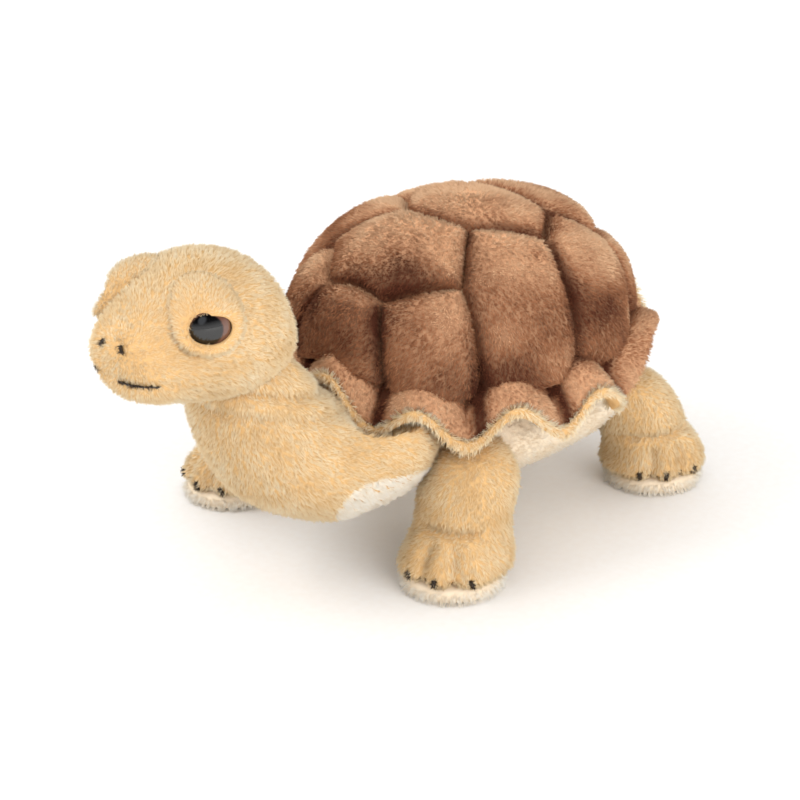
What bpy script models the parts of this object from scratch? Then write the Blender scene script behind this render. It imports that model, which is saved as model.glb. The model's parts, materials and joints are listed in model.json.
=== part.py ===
"""Plush turtle: a stuffed toy tortoise with a quilted shell, a sewn head and four sewn legs.

The toy is laid out from a point on the floor under the middle of its shell: the head points to -Y, the
toy's own left side is +X and the floor is Z = 0. At the end the whole toy is moved so that the middle of
its footprint is the origin.
"""
import math

import bmesh
import bpy
from mathutils import Matrix, Vector

MM = 0.001
COLLECTION_NAME = "plush_turtle"
FLOOR_Z = 0.0

# Clearances
SEAM_GAP = 0.3 * MM
SWING_GAP = 0.5 * MM
QUILT_GAP = 0.9 * MM
FLAT_CUT = 0.5 * MM
CUT_OVERRUN = 6 * MM
RIM_SHARE = 0.99

# Shell: a quilted dome, measured over the tops of its puffed scutes
SHELL_WIDTH = 98 * MM
SHELL_LENGTH = 113 * MM
SHELL_RISE = 39.5 * MM
SHELL_BASE_HEIGHT = 58 * MM
SHELL_SETBACK = -3 * MM
SHELL_FRONT_LIFT = 8 * MM
SHELL_FRONT_LIFT_SPREAD = math.radians(20)
FRONT_LIFT_FADE = 4
SCUTE_PUFF = 5.5 * MM
SCUTE_FOOT = 3 * MM
SCUTE_STEP = 7 * MM
DOME_SQUARENESS = 2.3
PUFF_STEEPNESS = 3
SCUTE_RING_SHARES = (0.45, 0.78, 0.95)
SCUTE_UNDER_SHARES = (0.55,)
CORE_SLACK = 1.2 * MM
CORE_RING_SHARES = (0.25, 0.5, 0.72, 0.9, 1.0)
CORE_STEPS = 26

# Corners of the sewn seams, seen from above and flattened so that the rim is the unit circle:
# first to the toy's left, then to its rear
SEAM_CORNER_SHARES = {
    "nape": (0.162, -0.607),
    "nape_rim": (0.300, -0.954),
    "shoulder_bend": (0.290, -0.450),
    "shoulder_top": (0.383, -0.390),
    "shoulder_side": (0.523, -0.454),
    "shoulder_rim": (0.760, -0.650),
    "crown_front": (0.193, -0.187),
    "crown_side": (0.384, -0.019),
    "crown_rear": (0.271, 0.083),
    "flank_bend": (0.522, -0.048),
    "flank_low": (0.669, -0.099),
    "flank_rim": (0.993, -0.120),
    "back_side": (0.478, 0.249),
    "hip_rim": (0.850, 0.527),
    "tail_top": (0.190, 0.590),
    "tail_rim": (0.330, 0.944),
}

# Ruffled brim: brown plush over a tan lining that shows at the edge
BRIM_WIDTH = 11 * MM
BRIM_EDGE = 2.5 * MM
BRIM_THICKNESS = 2.6 * MM
LINING_THICKNESS = 2.6 * MM
BRIM_DROP = 6 * MM
BRIM_WAVE = 4.2 * MM
BRIM_REAR_LIFT = 3 * MM
BRIM_FLIP = 17 * MM
BRIM_FLIP_AT = math.radians(102)
BRIM_FLIP_SPREAD = math.radians(10)
BRIM_WAVES = 13
BRIM_WAVE_LOW_AT = math.radians(18)
BRIM_REAR_LIFT_FROM = math.radians(92)
BRIM_REAR_LIFT_TO = math.radians(128)
BRIM_STEPS = 78
ROOM_STEPS = 39
BRIM_REACH_SHARES = (0.0, 0.5, 1.0)
BRIM_FREE_SHARE = 1.3
BRIM_FLARE = 1.5
LINING_INNER_SHARE = 0.55

# Belly: the cream stuffed cushion that everything else is sewn to
BELLY_SIDE_INSET = 7 * MM
BELLY_END_INSET = 3.5 * MM
BELLY_BELOW_SHELL = 21 * MM
BELLY_WIDTH = SHELL_WIDTH - 2 * BELLY_SIDE_INSET
BELLY_LENGTH = SHELL_LENGTH - 2 * BELLY_END_INSET
BELLY_HEIGHT = 44 * MM
BELLY_CENTRE_HEIGHT = SHELL_BASE_HEIGHT - BELLY_BELOW_SHELL
BELLY_SETBACK = 1 * MM
BELLY_SECTION_SHARES = (
    (-1.00, 0.36, 0.40),
    (-0.86, 0.72, 0.74),
    (-0.48, 0.98, 0.99),
    (0.00, 1.04, 1.03),
    (0.48, 0.98, 0.99),
    (0.86, 0.72, 0.74),
    (1.00, 0.36, 0.40),
)

# Neck and chest: one tan form that leaves the belly and turns up to the head
NECK_ROOT_DEPTH = 17 * MM
NECK_START_AHEAD = BELLY_LENGTH / 2 - NECK_ROOT_DEPTH
NECK_START_HEIGHT = BELLY_CENTRE_HEIGHT
NECK_REACH = 60 * MM
NECK_RISE = 44 * MM
CHEST_WIDTH = 60 * MM
CHEST_DEPTH = 42 * MM
NECK_SECTION_SHARES = (
    (0.00, 0.16, 0.46, 0.44),
    (0.30, 0.06, 0.52, 0.49),
    (0.60, 0.02, 0.48, 0.50),
    (0.80, 0.25, 0.39, 0.48),
    (0.90, 0.50, 0.33, 0.43),
    (0.96, 0.74, 0.31, 0.40),
    (1.00, 0.98, 0.22, 0.32),
)

# Nod joint, inside the top of the neck
NOD_BEYOND_NECK = 1 * MM
NOD_BELOW_NECK = 3 * MM
NOD_PIVOT_AHEAD = NECK_START_AHEAD + NECK_REACH + NOD_BEYOND_NECK
NOD_PIVOT_HEIGHT = NECK_START_HEIGHT + NECK_RISE - NOD_BELOW_NECK

# Head
HEAD_LENGTH = 58 * MM
HEAD_WIDTH = 49 * MM
HEAD_HEIGHT = 46 * MM
HEAD_BEYOND_NOD = 16 * MM
HEAD_ABOVE_NOD = 11 * MM
HEAD_AHEAD = NOD_PIVOT_AHEAD + HEAD_BEYOND_NOD
HEAD_CENTRE_HEIGHT = NOD_PIVOT_HEIGHT + HEAD_ABOVE_NOD
HEAD_SECTION_SHARES = (
    (-0.50, 0.23, 0.06, -0.34),
    (-0.42, 0.36, 0.29, -0.44),
    (-0.24, 0.46, 0.44, -0.48),
    (-0.03, 0.46, 0.49, -0.46),
    (0.17, 0.39, 0.41, -0.39),
    (0.34, 0.31, 0.28, -0.33),
    (0.46, 0.23, 0.18, -0.25),
    (0.50, 0.12, 0.08, -0.14),
)
NOD_BALL_RADIUS = 16 * MM
NOD_RANGE = (math.radians(-12), math.radians(12))

# Eyes: plastic domes on shanks, each held by a washer inside the head, in a padded eyelid
EYE_DIAMETER = 12.2 * MM
EYE_DOME = 3.4 * MM
EYE_FLANGE = 1.0 * MM
EYE_SINK = 0.8 * MM
EYE_FORWARD = 8.5 * MM
EYE_UP = 7.5 * MM
EYE_AHEAD = HEAD_AHEAD + EYE_FORWARD
EYE_HEIGHT = HEAD_CENTRE_HEIGHT + EYE_UP
EYE_OUT = 17 * MM
EYE_TURN = math.radians(62)
EYE_TILT = math.radians(6)
SHANK_DIAMETER = 4.0 * MM
SHANK_LENGTH = 8.0 * MM
WASHER_DIAMETER = 10.0 * MM
WASHER_THICKNESS = 1.2 * MM
WASHER_DEPTH = 5.0 * MM
EYE_TURN_STEPS = 16
EYE_ARC_STEPS = 4
EYELID_MARGIN = 4.4 * MM
EYELID_WIDTH = EYE_DIAMETER + 2 * EYELID_MARGIN
EYELID_HEIGHT = EYELID_WIDTH
EYELID_PUFF = 5.5 * MM
EYELID_LIFT = 3.5 * MM
EYELID_SINK = 1.0 * MM
EYELID_TILT = math.radians(18)
EYELID_SEGMENTS = 14
EYELID_RINGS = 8

# Legs: stuffed limbs on round hips; the toy stands with its right feet set a little wider
FOOT_WIDTH = 33 * MM
FRONT_FOOT_LENGTH = 35 * MM
REAR_FOOT_LENGTH = 34 * MM
SOLE_THICKNESS = 4 * MM
HIP_BALL_RADIUS = 11.5 * MM
FRONT_HIP_SIDE_INSET = 8 * MM
FRONT_HIP_END_INSET = 15 * MM
FRONT_HIP_RAISE = 1 * MM
REAR_HIP_SIDE_INSET = 10 * MM
REAR_HIP_END_INSET = 17 * MM
REAR_HIP_DROP = 2 * MM
FRONT_HIP_OUT = BELLY_WIDTH / 2 - FRONT_HIP_SIDE_INSET
FRONT_HIP_AHEAD = BELLY_LENGTH / 2 - FRONT_HIP_END_INSET
FRONT_HIP_HEIGHT = BELLY_CENTRE_HEIGHT + FRONT_HIP_RAISE
REAR_HIP_OUT = BELLY_WIDTH / 2 - REAR_HIP_SIDE_INSET
REAR_HIP_BACK = BELLY_LENGTH / 2 - REAR_HIP_END_INSET
REAR_HIP_HEIGHT = BELLY_CENTRE_HEIGHT - REAR_HIP_DROP
RIGHT_FRONT_SPLAY = 20 * MM
LEFT_REAR_SPLAY = 2 * MM
RIGHT_REAR_SPLAY = 12 * MM
FRONT_STRIDE = 5 * MM
REAR_STRIDE = 14 * MM
LEFT_FRONT_FOOT_OUT = FRONT_HIP_OUT
RIGHT_FRONT_FOOT_OUT = FRONT_HIP_OUT + RIGHT_FRONT_SPLAY
FRONT_FOOT_AHEAD = FRONT_HIP_AHEAD + FRONT_STRIDE
LEFT_REAR_FOOT_OUT = REAR_HIP_OUT + LEFT_REAR_SPLAY
RIGHT_REAR_FOOT_OUT = REAR_HIP_OUT + RIGHT_REAR_SPLAY
REAR_FOOT_BACK = REAR_HIP_BACK + REAR_STRIDE
LEG_SWING = (math.radians(-12), math.radians(12))
LEG_SECTION_SHARES = (
    (0.00, 0.00, 0.450, 0.450, 0.06),
    (0.08, 0.00, 0.515, 0.515, 0.06),
    (0.25, 0.06, 0.460, 0.450, 0.03),
    (0.45, 0.40, 0.410, 0.400, 0.00),
    (0.78, 0.76, 0.470, 0.430, 0.00),
    (1.12, 1.02, 0.300, 0.290, 0.00),
)

# Tail: a short stuffed cone under the rear of the brim
TAIL_LENGTH = 20 * MM
TAIL_THICKNESS = 15 * MM
TAIL_ROOT_DEPTH = 7 * MM
TAIL_BELOW_BELLY = 1 * MM
TAIL_START_BACK = BELLY_LENGTH / 2 - TAIL_ROOT_DEPTH
TAIL_START_HEIGHT = BELLY_CENTRE_HEIGHT - TAIL_BELOW_BELLY
TAIL_FALL = 9 * MM
TAIL_SECTION_SHARES = (
    (0.0, 0.45),
    (0.3, 0.50),
    (0.7, 0.34),
    (1.0, 0.12),
)

CAGE_SIDES = 10
LIMB_CAGE_SIDES = 8
TAIL_CAGE_SIDES = 6
CAGE_LEVELS = 1
BALL_SEGMENTS = 16
BALL_RINGS = 8
SWING_STEPS = 3
MERGE_DISTANCE = 0.01 * MM

TAN_PLUSH = ("tan_plush", (0.62, 0.42, 0.22, 1.0), 0.95)
BROWN_PLUSH = ("brown_plush", (0.26, 0.12, 0.06, 1.0), 0.95)
CREAM_PLUSH = ("cream_plush", (0.82, 0.74, 0.60, 1.0), 0.95)
STUFFED_LINING = ("stuffing_cover", (0.80, 0.78, 0.72, 1.0), 0.9)
EYE_PLASTIC = ("eye_plastic", (0.03, 0.015, 0.01, 1.0), 0.12)
WASHER_PLASTIC = ("washer_plastic", (0.85, 0.85, 0.83, 1.0), 0.5)


def clear_scene():
    """Remove every object that the file starts with."""
    for old in list(bpy.data.objects):
        bpy.data.objects.remove(old, do_unlink=True)


def new_collection(name):
    """Link a new collection to the scene."""
    made = bpy.data.collections.new(name)
    bpy.context.scene.collection.children.link(made)
    return made


def plush_material(node_name, finish):
    """Give one sub-part its own Principled material."""
    slot, colour, roughness = finish
    material = bpy.data.materials.new(node_name + "_" + slot)
    material.use_nodes = True
    shader = material.node_tree.nodes["Principled BSDF"]
    shader.inputs["Base Color"].default_value = colour
    shader.inputs["Roughness"].default_value = roughness
    shader.inputs["Metallic"].default_value = 0.0
    return material


def add_empty(name, place, collection, parent=None):
    """Place an empty: the toy's root, or a joint's pivot."""
    empty = bpy.data.objects.new(name, None)
    collection.objects.link(empty)
    empty.parent = parent
    base = parent.matrix_world.translation if parent else Vector()
    empty.location = Vector(place) - base
    bpy.context.view_layer.update()
    return empty


def add_part(name, mesh, finish, parent):
    """Make a mesh whose points are in the toy's layout a part under its joint's empty."""
    mesh.shade_smooth()
    part = bpy.data.objects.new(name, mesh)
    part.data.materials.append(plush_material(name, finish))
    PARTS.objects.link(part)
    part.parent = parent
    part.location = -parent.matrix_world.translation
    bpy.context.view_layer.update()
    return part


def add_cutter(name, mesh, turn=None):
    """Keep a cutting shape with the toy, unseen in renders."""
    cutter = bpy.data.objects.new(name, mesh)
    CUTTERS.objects.link(cutter)
    cutter.parent = ROOT
    if turn is not None:
        cutter.matrix_local = turn
    cutter.hide_render = True
    cutter.display_type = "WIRE"
    bpy.context.view_layer.update()
    return cutter


def boolean(part, cutter, operation, solver="EXACT"):
    """Cut one shape out of a part, or join it on."""
    step = part.modifiers.new(operation.lower() + "_" + cutter.name, "BOOLEAN")
    step.operation = operation
    step.object = cutter
    step.solver = solver


def evaluated_mesh(part):
    """Copy a part's mesh, as its modifiers leave it, in the toy's layout."""
    graph = bpy.context.evaluated_depsgraph_get()
    graph.update()
    mesh = bpy.data.meshes.new_from_object(part.evaluated_get(graph))
    mesh.transform(part.matrix_world)
    return mesh


def grown_mesh(part, distance):
    """Copy a part's mesh with every point moved out along its normal."""
    mesh = evaluated_mesh(part)
    shape = bmesh.new()
    shape.from_mesh(mesh)
    shape.normal_update()
    moves = [point.normal * distance for point in shape.verts]
    for point, move in zip(shape.verts, moves):
        point.co += move
    shape.to_mesh(mesh)
    shape.free()
    return mesh


def mesh_of(name, points, faces):
    """Build a mesh from points and faces, with all its faces turned outwards."""
    mesh = bpy.data.meshes.new(name)
    mesh.from_pydata([tuple(point) for point in points], [], faces)
    shape = bmesh.new()
    shape.from_mesh(mesh)
    bmesh.ops.recalc_face_normals(shape, faces=shape.faces)
    shape.to_mesh(mesh)
    shape.free()
    return mesh


def tube_skin(rings):
    """Join rings of points into a tube with flat ends."""
    sides = len(rings[0])
    points = [point for ring in rings for point in ring]
    faces = [tuple(range(sides)), tuple((len(rings) - 1) * sides + side for side in range(sides))]
    for lower in range(len(rings) - 1):
        for side in range(sides):
            after = (side + 1) % sides
            low = lower * sides
            high = low + sides
            faces.append((low + side, low + after, high + after, high + side))
    return points, faces


def hoop_skin(sections):
    """Join closed sections round the shell into a hoop.

    Each four-sided patch is split from its inner corner to its outer one, the same way on every layer, so
    that layers laid on each other keep their gap where the ruffle twists them.
    """
    loop = len(sections[0])
    points = [point for section in sections for point in section]
    faces = []
    for here in range(len(sections)):
        ahead = (here + 1) % len(sections)
        for side in range(loop):
            after = (side + 1) % loop
            patch = (here * loop + side, here * loop + after, ahead * loop + after, ahead * loop + side)
            if points[patch[0]].xy.length > points[patch[1]].xy.length:
                patch = patch[1:] + patch[:1]
            faces.append((patch[0], patch[1], patch[2]))
            faces.append((patch[0], patch[2], patch[3]))
    return points, faces


def rounding_share(sides):
    """The share of its cage's radius that a subdivided ring of so many sides keeps."""
    return (1 + 1 + math.cos(math.tau / sides)) / 3


def cage_ring(centre, side_reach, up_reach, sides):
    """One oval ring of a cage, made larger by what the subdivision takes off."""
    keep = rounding_share(sides)
    ring = []
    for side in range(sides):
        turn = math.tau * side / sides
        ring.append(centre + side_reach * (math.cos(turn) / keep) + up_reach * (math.sin(turn) / keep))
    return ring


def stuffed_form(name, rings, finish, parent):
    """A soft stuffed form: a coarse cage of rings, rounded by Subdivision Surface."""
    points, faces = tube_skin(rings)
    part = add_part(name, mesh_of(name, points, faces), finish, parent)
    rounding = part.modifiers.new("stuffing", "SUBSURF")
    rounding.levels = CAGE_LEVELS
    rounding.render_levels = CAGE_LEVELS
    return part


def ball_mesh(name, centre, radius):
    """A round ball at a joint, with its poles on the joint's axis so that its facets pass its socket's."""
    shape = bmesh.new()
    bmesh.ops.create_uvsphere(shape, u_segments=BALL_SEGMENTS, v_segments=BALL_RINGS, radius=radius)
    on_axis = Matrix.Rotation(math.pi / 2, 3, "Y")
    bmesh.ops.rotate(shape, verts=shape.verts, cent=Vector(), matrix=on_axis)
    bmesh.ops.translate(shape, verts=shape.verts, vec=centre)
    mesh = bpy.data.meshes.new(name)
    shape.to_mesh(mesh)
    shape.free()
    return mesh


def clear_the_swing(part, neighbours, pivot, limits):
    """Cut a limb back from its neighbours, as it meets them at rest and across its whole swing.

    The turned copies cross each other at shallow angles, where EXACT tears the skin, so MANIFOLD cuts here.
    """
    for neighbour in neighbours:
        for step in range(SWING_STEPS):
            angle = limits[0] + (limits[1] - limits[0]) * step / (SWING_STEPS - 1)
            turn = Matrix.Translation(pivot) @ Matrix.Rotation(-angle, 4, "X") @ Matrix.Translation(-pivot)
            label = part.name + "_off_" + neighbour.name + "_" + str(step)
            cutter = add_cutter(label, grown_mesh(neighbour, SWING_GAP), turn)
            boolean(part, cutter, "DIFFERENCE", "MANIFOLD")


# Shell


def eased(share):
    """A smooth step from 0 to 1."""
    share = min(max(share, 0.0), 1.0)
    return (1 - math.cos(math.pi * share)) / 2


def front_lift(angle):
    """How far the shell's rim is raised over the neck, at an angle from straight ahead."""
    off = math.remainder(angle, math.tau) / SHELL_FRONT_LIFT_SPREAD
    return SHELL_FRONT_LIFT * math.exp(-off * off)


def dome_point(left_share, back_share, inset):
    """A point of the dome, from its flattened place: the unit circle is the rim."""
    reach = math.hypot(left_share, back_share)
    angle = math.atan2(left_share, -back_share)
    slope = min(reach, 1.0) * math.pi / 2
    out = math.sin(slope) ** (2 / DOME_SQUARENESS)
    rise = max(math.cos(slope), 0.0) ** (2 / DOME_SQUARENESS)
    return Vector((
        (SHELL_WIDTH / 2 - inset) * out * math.sin(angle),
        SHELL_SETBACK - (SHELL_LENGTH / 2 - inset) * out * math.cos(angle),
        SHELL_BASE_HEIGHT + front_lift(angle) * out ** FRONT_LIFT_FADE + (SHELL_RISE - inset) * rise,
    ))


def lining_inner():
    """How far inside the sewn rim the lining's flat middle begins, as a negative distance beyond the rim."""
    return -LINING_INNER_SHARE * (SHELL_WIDTH / 2 - SCUTE_PUFF)


def rim_point(angle, beyond, height):
    """A point beside the shell's sewn rim, so far beyond it and at a height above the shell's floor.

    The rim's lift over the neck fades in a straight line from the scutes' foot to the lining's flat middle.
    """
    half_width = SHELL_WIDTH / 2 - SCUTE_PUFF
    half_length = SHELL_LENGTH / 2 - SCUTE_PUFF
    share = (beyond - lining_inner()) / (-SCUTE_FOOT - lining_inner())
    lift = front_lift(angle) * min(max(share, 0.0), 1.0)
    return Vector((
        (half_width + beyond) * math.sin(angle),
        SHELL_SETBACK - (half_length + beyond) * math.cos(angle),
        SHELL_BASE_HEIGHT + lift + height,
    ))


def rim_arc(start, end):
    """Flattened places along the rim, between two corners on it."""
    first = math.atan2(start[0], -start[1])
    span = math.remainder(math.atan2(end[0], -end[1]) - first, math.tau)
    steps = max(2, math.ceil(abs(span) * SHELL_LENGTH / 2 / SCUTE_STEP))
    return [
        (math.sin(first + span * step / steps), -math.cos(first + span * step / steps))
        for step in range(1, steps)
    ]


def scute_outline(corners):
    """The flattened outline of a scute, drawn in from its neighbours by half of the quilted seam."""
    on_rim = [math.hypot(*corner) > RIM_SHARE for corner in corners]
    margin = QUILT_GAP / SHELL_WIDTH
    middle = sum((Vector(corner) for corner in corners), Vector((0.0, 0.0))) / len(corners)
    edges = []
    for index, corner in enumerate(corners):
        after = (index + 1) % len(corners)
        start, end = Vector(corner), Vector(corners[after])
        along = (end - start).normalized()
        inward = Vector((-along.y, along.x))
        if inward.dot(middle - start) < 0:
            inward.negate()
        rim_edge = on_rim[index] and on_rim[after]
        shift = inward * (0.0 if rim_edge else margin)
        edges.append((start + shift, along, rim_edge))
    drawn_in = []
    for index in range(len(corners)):
        before, here = edges[index - 1], edges[index]
        turn = before[1].cross(here[1])
        reach = (here[0] - before[0]).cross(here[1]) / turn
        place = before[0] + before[1] * reach
        if on_rim[index]:
            place = place.normalized()
        drawn_in.append(place)
    outline = []
    for index, place in enumerate(drawn_in):
        after = drawn_in[(index + 1) % len(drawn_in)]
        outline.append(tuple(place))
        if edges[index][2]:
            outline.extend(rim_arc(place, after))
        else:
            steps = math.ceil((after - place).length * SHELL_WIDTH / 2 * math.pi / 2 / SCUTE_STEP)
            outline.extend(tuple(place.lerp(after, step / steps)) for step in range(1, steps))
    return outline


def puff_share(ring_share):
    """How much of its full puff a scute has, so far from its middle to its seam."""
    return math.sqrt(1 - ring_share ** PUFF_STEEPNESS)


def scute(name, corner_names):
    """One puffed panel of the shell, with a deep sewn edge all round."""
    corners = []
    for corner_name in corner_names:
        mirrored = corner_name.startswith("-")
        left, back = SEAM_CORNER_SHARES[corner_name.lstrip("-")]
        corners.append((-left if mirrored else left, back))
    outline = scute_outline(corners)
    count = len(outline)
    middle = (sum(place[0] for place in outline) / count, sum(place[1] for place in outline) / count)
    points = [dome_point(*middle, 0.0)]
    for ring_share in SCUTE_RING_SHARES + (1.0,):
        for place in outline:
            left = middle[0] + (place[0] - middle[0]) * ring_share
            back = middle[1] + (place[1] - middle[1]) * ring_share
            points.append(dome_point(left, back, SCUTE_PUFF * (1 - puff_share(ring_share))))
    for ring_share in (1.0,) + SCUTE_UNDER_SHARES:
        for place in outline:
            left = middle[0] + (place[0] - middle[0]) * ring_share
            back = middle[1] + (place[1] - middle[1]) * ring_share
            points.append(dome_point(left, back, SCUTE_PUFF + SCUTE_FOOT))
    points.append(dome_point(*middle, SCUTE_PUFF + SCUTE_FOOT))
    rings = len(SCUTE_RING_SHARES) + len(SCUTE_UNDER_SHARES) + 2
    faces = []
    for side in range(count):
        after = (side + 1) % count
        faces.append((0, 1 + side, 1 + after))
        for ring in range(rings - 1):
            low = 1 + ring * count
            high = low + count
            faces.append((low + side, high + side, high + after, low + after))
        last = 1 + (rings - 1) * count
        faces.append((last + side, last + count, last + after))
    return add_part(name, mesh_of(name, points, faces), BROWN_PLUSH, ROOT)


def shell_core():
    """The stuffed pad inside the shell, with its underside on the lining."""
    inset = SCUTE_PUFF + SCUTE_FOOT + CORE_SLACK
    drop = BRIM_THICKNESS - SEAM_GAP
    rings = []
    for share in CORE_RING_SHARES:
        ring = []
        for step in range(CORE_STEPS):
            angle = math.tau * step / CORE_STEPS
            ring.append(dome_point(share * math.sin(angle), -share * math.cos(angle), inset))
        rings.append(ring)
    for beyond in (-SCUTE_FOOT - CORE_SLACK, lining_inner()):
        rings.append([rim_point(math.tau * step / CORE_STEPS, beyond, -drop) for step in range(CORE_STEPS)])
    points, faces = tube_skin(rings)
    return add_part("shell_core", mesh_of("shell_core", points, faces), STUFFED_LINING, ROOT)


def brim_low(reach_share):
    """The lowest that the ruffled brim droops, under the shell's floor, so far out from the sewn rim."""
    share = min(max(reach_share, 0.0), BRIM_FREE_SHARE)
    return -BRIM_WAVE * share ** BRIM_FLARE - BRIM_DROP * share


def brim_height(angle, reach_share):
    """Height of the brim over the shell's floor: it droops, ruffles, and flips up behind each flank."""
    share = min(max(reach_share, 0.0), BRIM_FREE_SHARE)
    ruffle = BRIM_WAVE - BRIM_WAVE * math.cos(BRIM_WAVES * (angle - BRIM_WAVE_LOW_AT))
    around = abs(math.remainder(angle, math.tau))
    along = (around - BRIM_REAR_LIFT_FROM) / (BRIM_REAR_LIFT_TO - BRIM_REAR_LIFT_FROM)
    off = (around - BRIM_FLIP_AT) / BRIM_FLIP_SPREAD
    rear = BRIM_REAR_LIFT * eased(along) + BRIM_FLIP * math.exp(-off * off)
    return brim_low(reach_share) + share ** BRIM_FLARE * (ruffle + rear)


def brim_section(angle, reaches, top, bottom):
    """One closed section of a brim layer, out along its top to a thin edge and back along its underside."""
    over = []
    under = []
    for beyond in reaches[:-1]:
        height = brim_height(angle, beyond / BRIM_WIDTH)
        over.append(rim_point(angle, beyond, height + top))
        under.append(rim_point(angle, beyond, height + bottom))
    edge_height = brim_height(angle, reaches[-1] / BRIM_WIDTH) + (top + bottom) / 2
    return over + [rim_point(angle, reaches[-1], edge_height)] + under[::-1]


def brim_reaches():
    """How far beyond the rim each ring of the brim lies, from the scutes' foot to the brown plush's edge."""
    return [-SCUTE_FOOT] + [BRIM_WIDTH * share for share in BRIM_REACH_SHARES]


def without_bore(faces, loop, count):
    """Close the middle of a hoop: its inner wall goes, and two flat faces take its place."""
    inner_wall = {0, loop - 1}
    kept = [face for face in faces if {corner % loop for corner in face} != inner_wall]
    kept.append(tuple(section * loop for section in range(count)))
    kept.append(tuple(section * loop + loop - 1 for section in range(count)))
    return kept


def brim():
    """The ruffled brim: a brown ring on top and a tan lining that closes the shell's floor."""
    top = -SEAM_GAP
    middle = top - BRIM_THICKNESS
    angles = [math.tau * step / BRIM_STEPS for step in range(BRIM_STEPS)]
    rings = [brim_section(angle, brim_reaches(), top, middle) for angle in angles]
    points, faces = hoop_skin(rings)
    add_part("brim_top", mesh_of("brim_top", points, faces), BROWN_PLUSH, ROOT)
    top = middle - SEAM_GAP
    bottom = top - LINING_THICKNESS
    reaches = [lining_inner()] + brim_reaches() + [BRIM_WIDTH + BRIM_EDGE]
    rings = [brim_section(angle, reaches, top, bottom) for angle in angles]
    points, faces = hoop_skin(rings)
    faces = without_bore(faces, len(rings[0]), BRIM_STEPS)
    add_part("brim_lining", mesh_of("brim_lining", points, faces), TAN_PLUSH, ROOT)


def room_of_shell():
    """The space that the shell takes, down to the lowest that its brim droops. Lower forms end at it."""
    bottom = -BRIM_THICKNESS - LINING_THICKNESS - SEAM_GAP - SEAM_GAP - SWING_GAP
    outer = BRIM_WIDTH + BRIM_EDGE + SEAM_GAP
    reaches = [lining_inner()] + brim_reaches() + [outer]
    rings = []
    for step in range(ROOM_STEPS):
        angle = math.tau * step / ROOM_STEPS
        under = [rim_point(angle, beyond, brim_low(beyond / BRIM_WIDTH) + bottom) for beyond in reaches]
        rings.append(under + [rim_point(angle, beyond, SHELL_RISE) for beyond in (outer, lining_inner())])
    points, faces = hoop_skin(rings)
    faces = without_bore(faces, len(rings[0]), len(rings))
    return add_cutter("room_of_shell", mesh_of("room_of_shell", points, faces))


def shell():
    """The quilted shell: a stuffed core, thirteen puffed scutes and the ruffled brim."""
    shell_core()
    scute("scute_nape", ("-nape_rim", "-nape", "nape", "nape_rim"))
    scute("scute_front", (
        "-nape", "-shoulder_bend", "-shoulder_top", "-crown_front",
        "crown_front", "shoulder_top", "shoulder_bend", "nape",
    ))
    scute("scute_crown", (
        "-crown_front", "-crown_side", "-crown_rear",
        "crown_rear", "crown_side", "crown_front",
    ))
    scute("scute_back", ("-crown_rear", "-back_side", "-tail_top", "tail_top", "back_side", "crown_rear"))
    scute("scute_tail", ("-tail_top", "-tail_rim", "tail_rim", "tail_top"))
    for label, sign in (("left", ""), ("right", "-")):
        panels = (
            ("shoulder", (
                "nape_rim", "nape", "shoulder_bend", "shoulder_top", "shoulder_side", "shoulder_rim",
            )),
            ("front_flank", (
                "crown_front", "shoulder_top", "shoulder_side", "shoulder_rim",
                "flank_rim", "flank_low", "flank_bend", "crown_side",
            )),
            ("rear_flank", (
                "crown_side", "flank_bend", "flank_low", "flank_rim", "hip_rim", "back_side", "crown_rear",
            )),
            ("hip", ("back_side", "hip_rim", "tail_rim", "tail_top")),
        )
        for panel, corner_names in panels:
            scute("scute_" + label + "_" + panel, tuple(sign + corner for corner in corner_names))
    brim()


# Body


def belly():
    """The cream cushion under the shell."""
    centre = Vector((0.0, BELLY_SETBACK, BELLY_CENTRE_HEIGHT))
    rings = []
    for along, side, up in BELLY_SECTION_SHARES:
        rings.append(cage_ring(
            centre + Vector((0.0, along * BELLY_LENGTH / 2, 0.0)),
            Vector((side * BELLY_WIDTH / 2, 0.0, 0.0)),
            Vector((0.0, 0.0, up * BELLY_HEIGHT / 2)),
            CAGE_SIDES,
        ))
    return stuffed_form("belly", rings, CREAM_PLUSH, ROOT)


def neck_and_chest():
    """The tan form that swells into the chest and tapers up into the neck."""
    spine = [
        Vector((0.0, -NECK_START_AHEAD - ahead * NECK_REACH, NECK_START_HEIGHT + rise * NECK_RISE))
        for ahead, rise, _, _ in NECK_SECTION_SHARES
    ]
    rings = []
    for index, (_, _, side, depth) in enumerate(NECK_SECTION_SHARES):
        before = spine[max(index - 1, 0)]
        after = spine[min(index + 1, len(spine) - 1)]
        along = (after - before).normalized()
        across = Vector((1.0, 0.0, 0.0))
        rings.append(cage_ring(
            spine[index],
            across * (side * CHEST_WIDTH),
            along.cross(across) * (depth * CHEST_DEPTH),
            CAGE_SIDES,
        ))
    return stuffed_form("neck_and_chest", rings, TAN_PLUSH, ROOT)


def tail():
    """A short stuffed cone under the rear of the brim."""
    rings = []
    for along, half in TAIL_SECTION_SHARES:
        reach = half * TAIL_THICKNESS
        centre = Vector((0.0, TAIL_START_BACK + along * TAIL_LENGTH, TAIL_START_HEIGHT - along * TAIL_FALL))
        aside = Vector((reach, 0.0, 0.0))
        upward = Vector((0.0, 0.0, reach))
        rings.append(cage_ring(centre, aside, upward, TAIL_CAGE_SIDES))
    return stuffed_form("tail", rings, TAN_PLUSH, ROOT)


# Head


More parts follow.
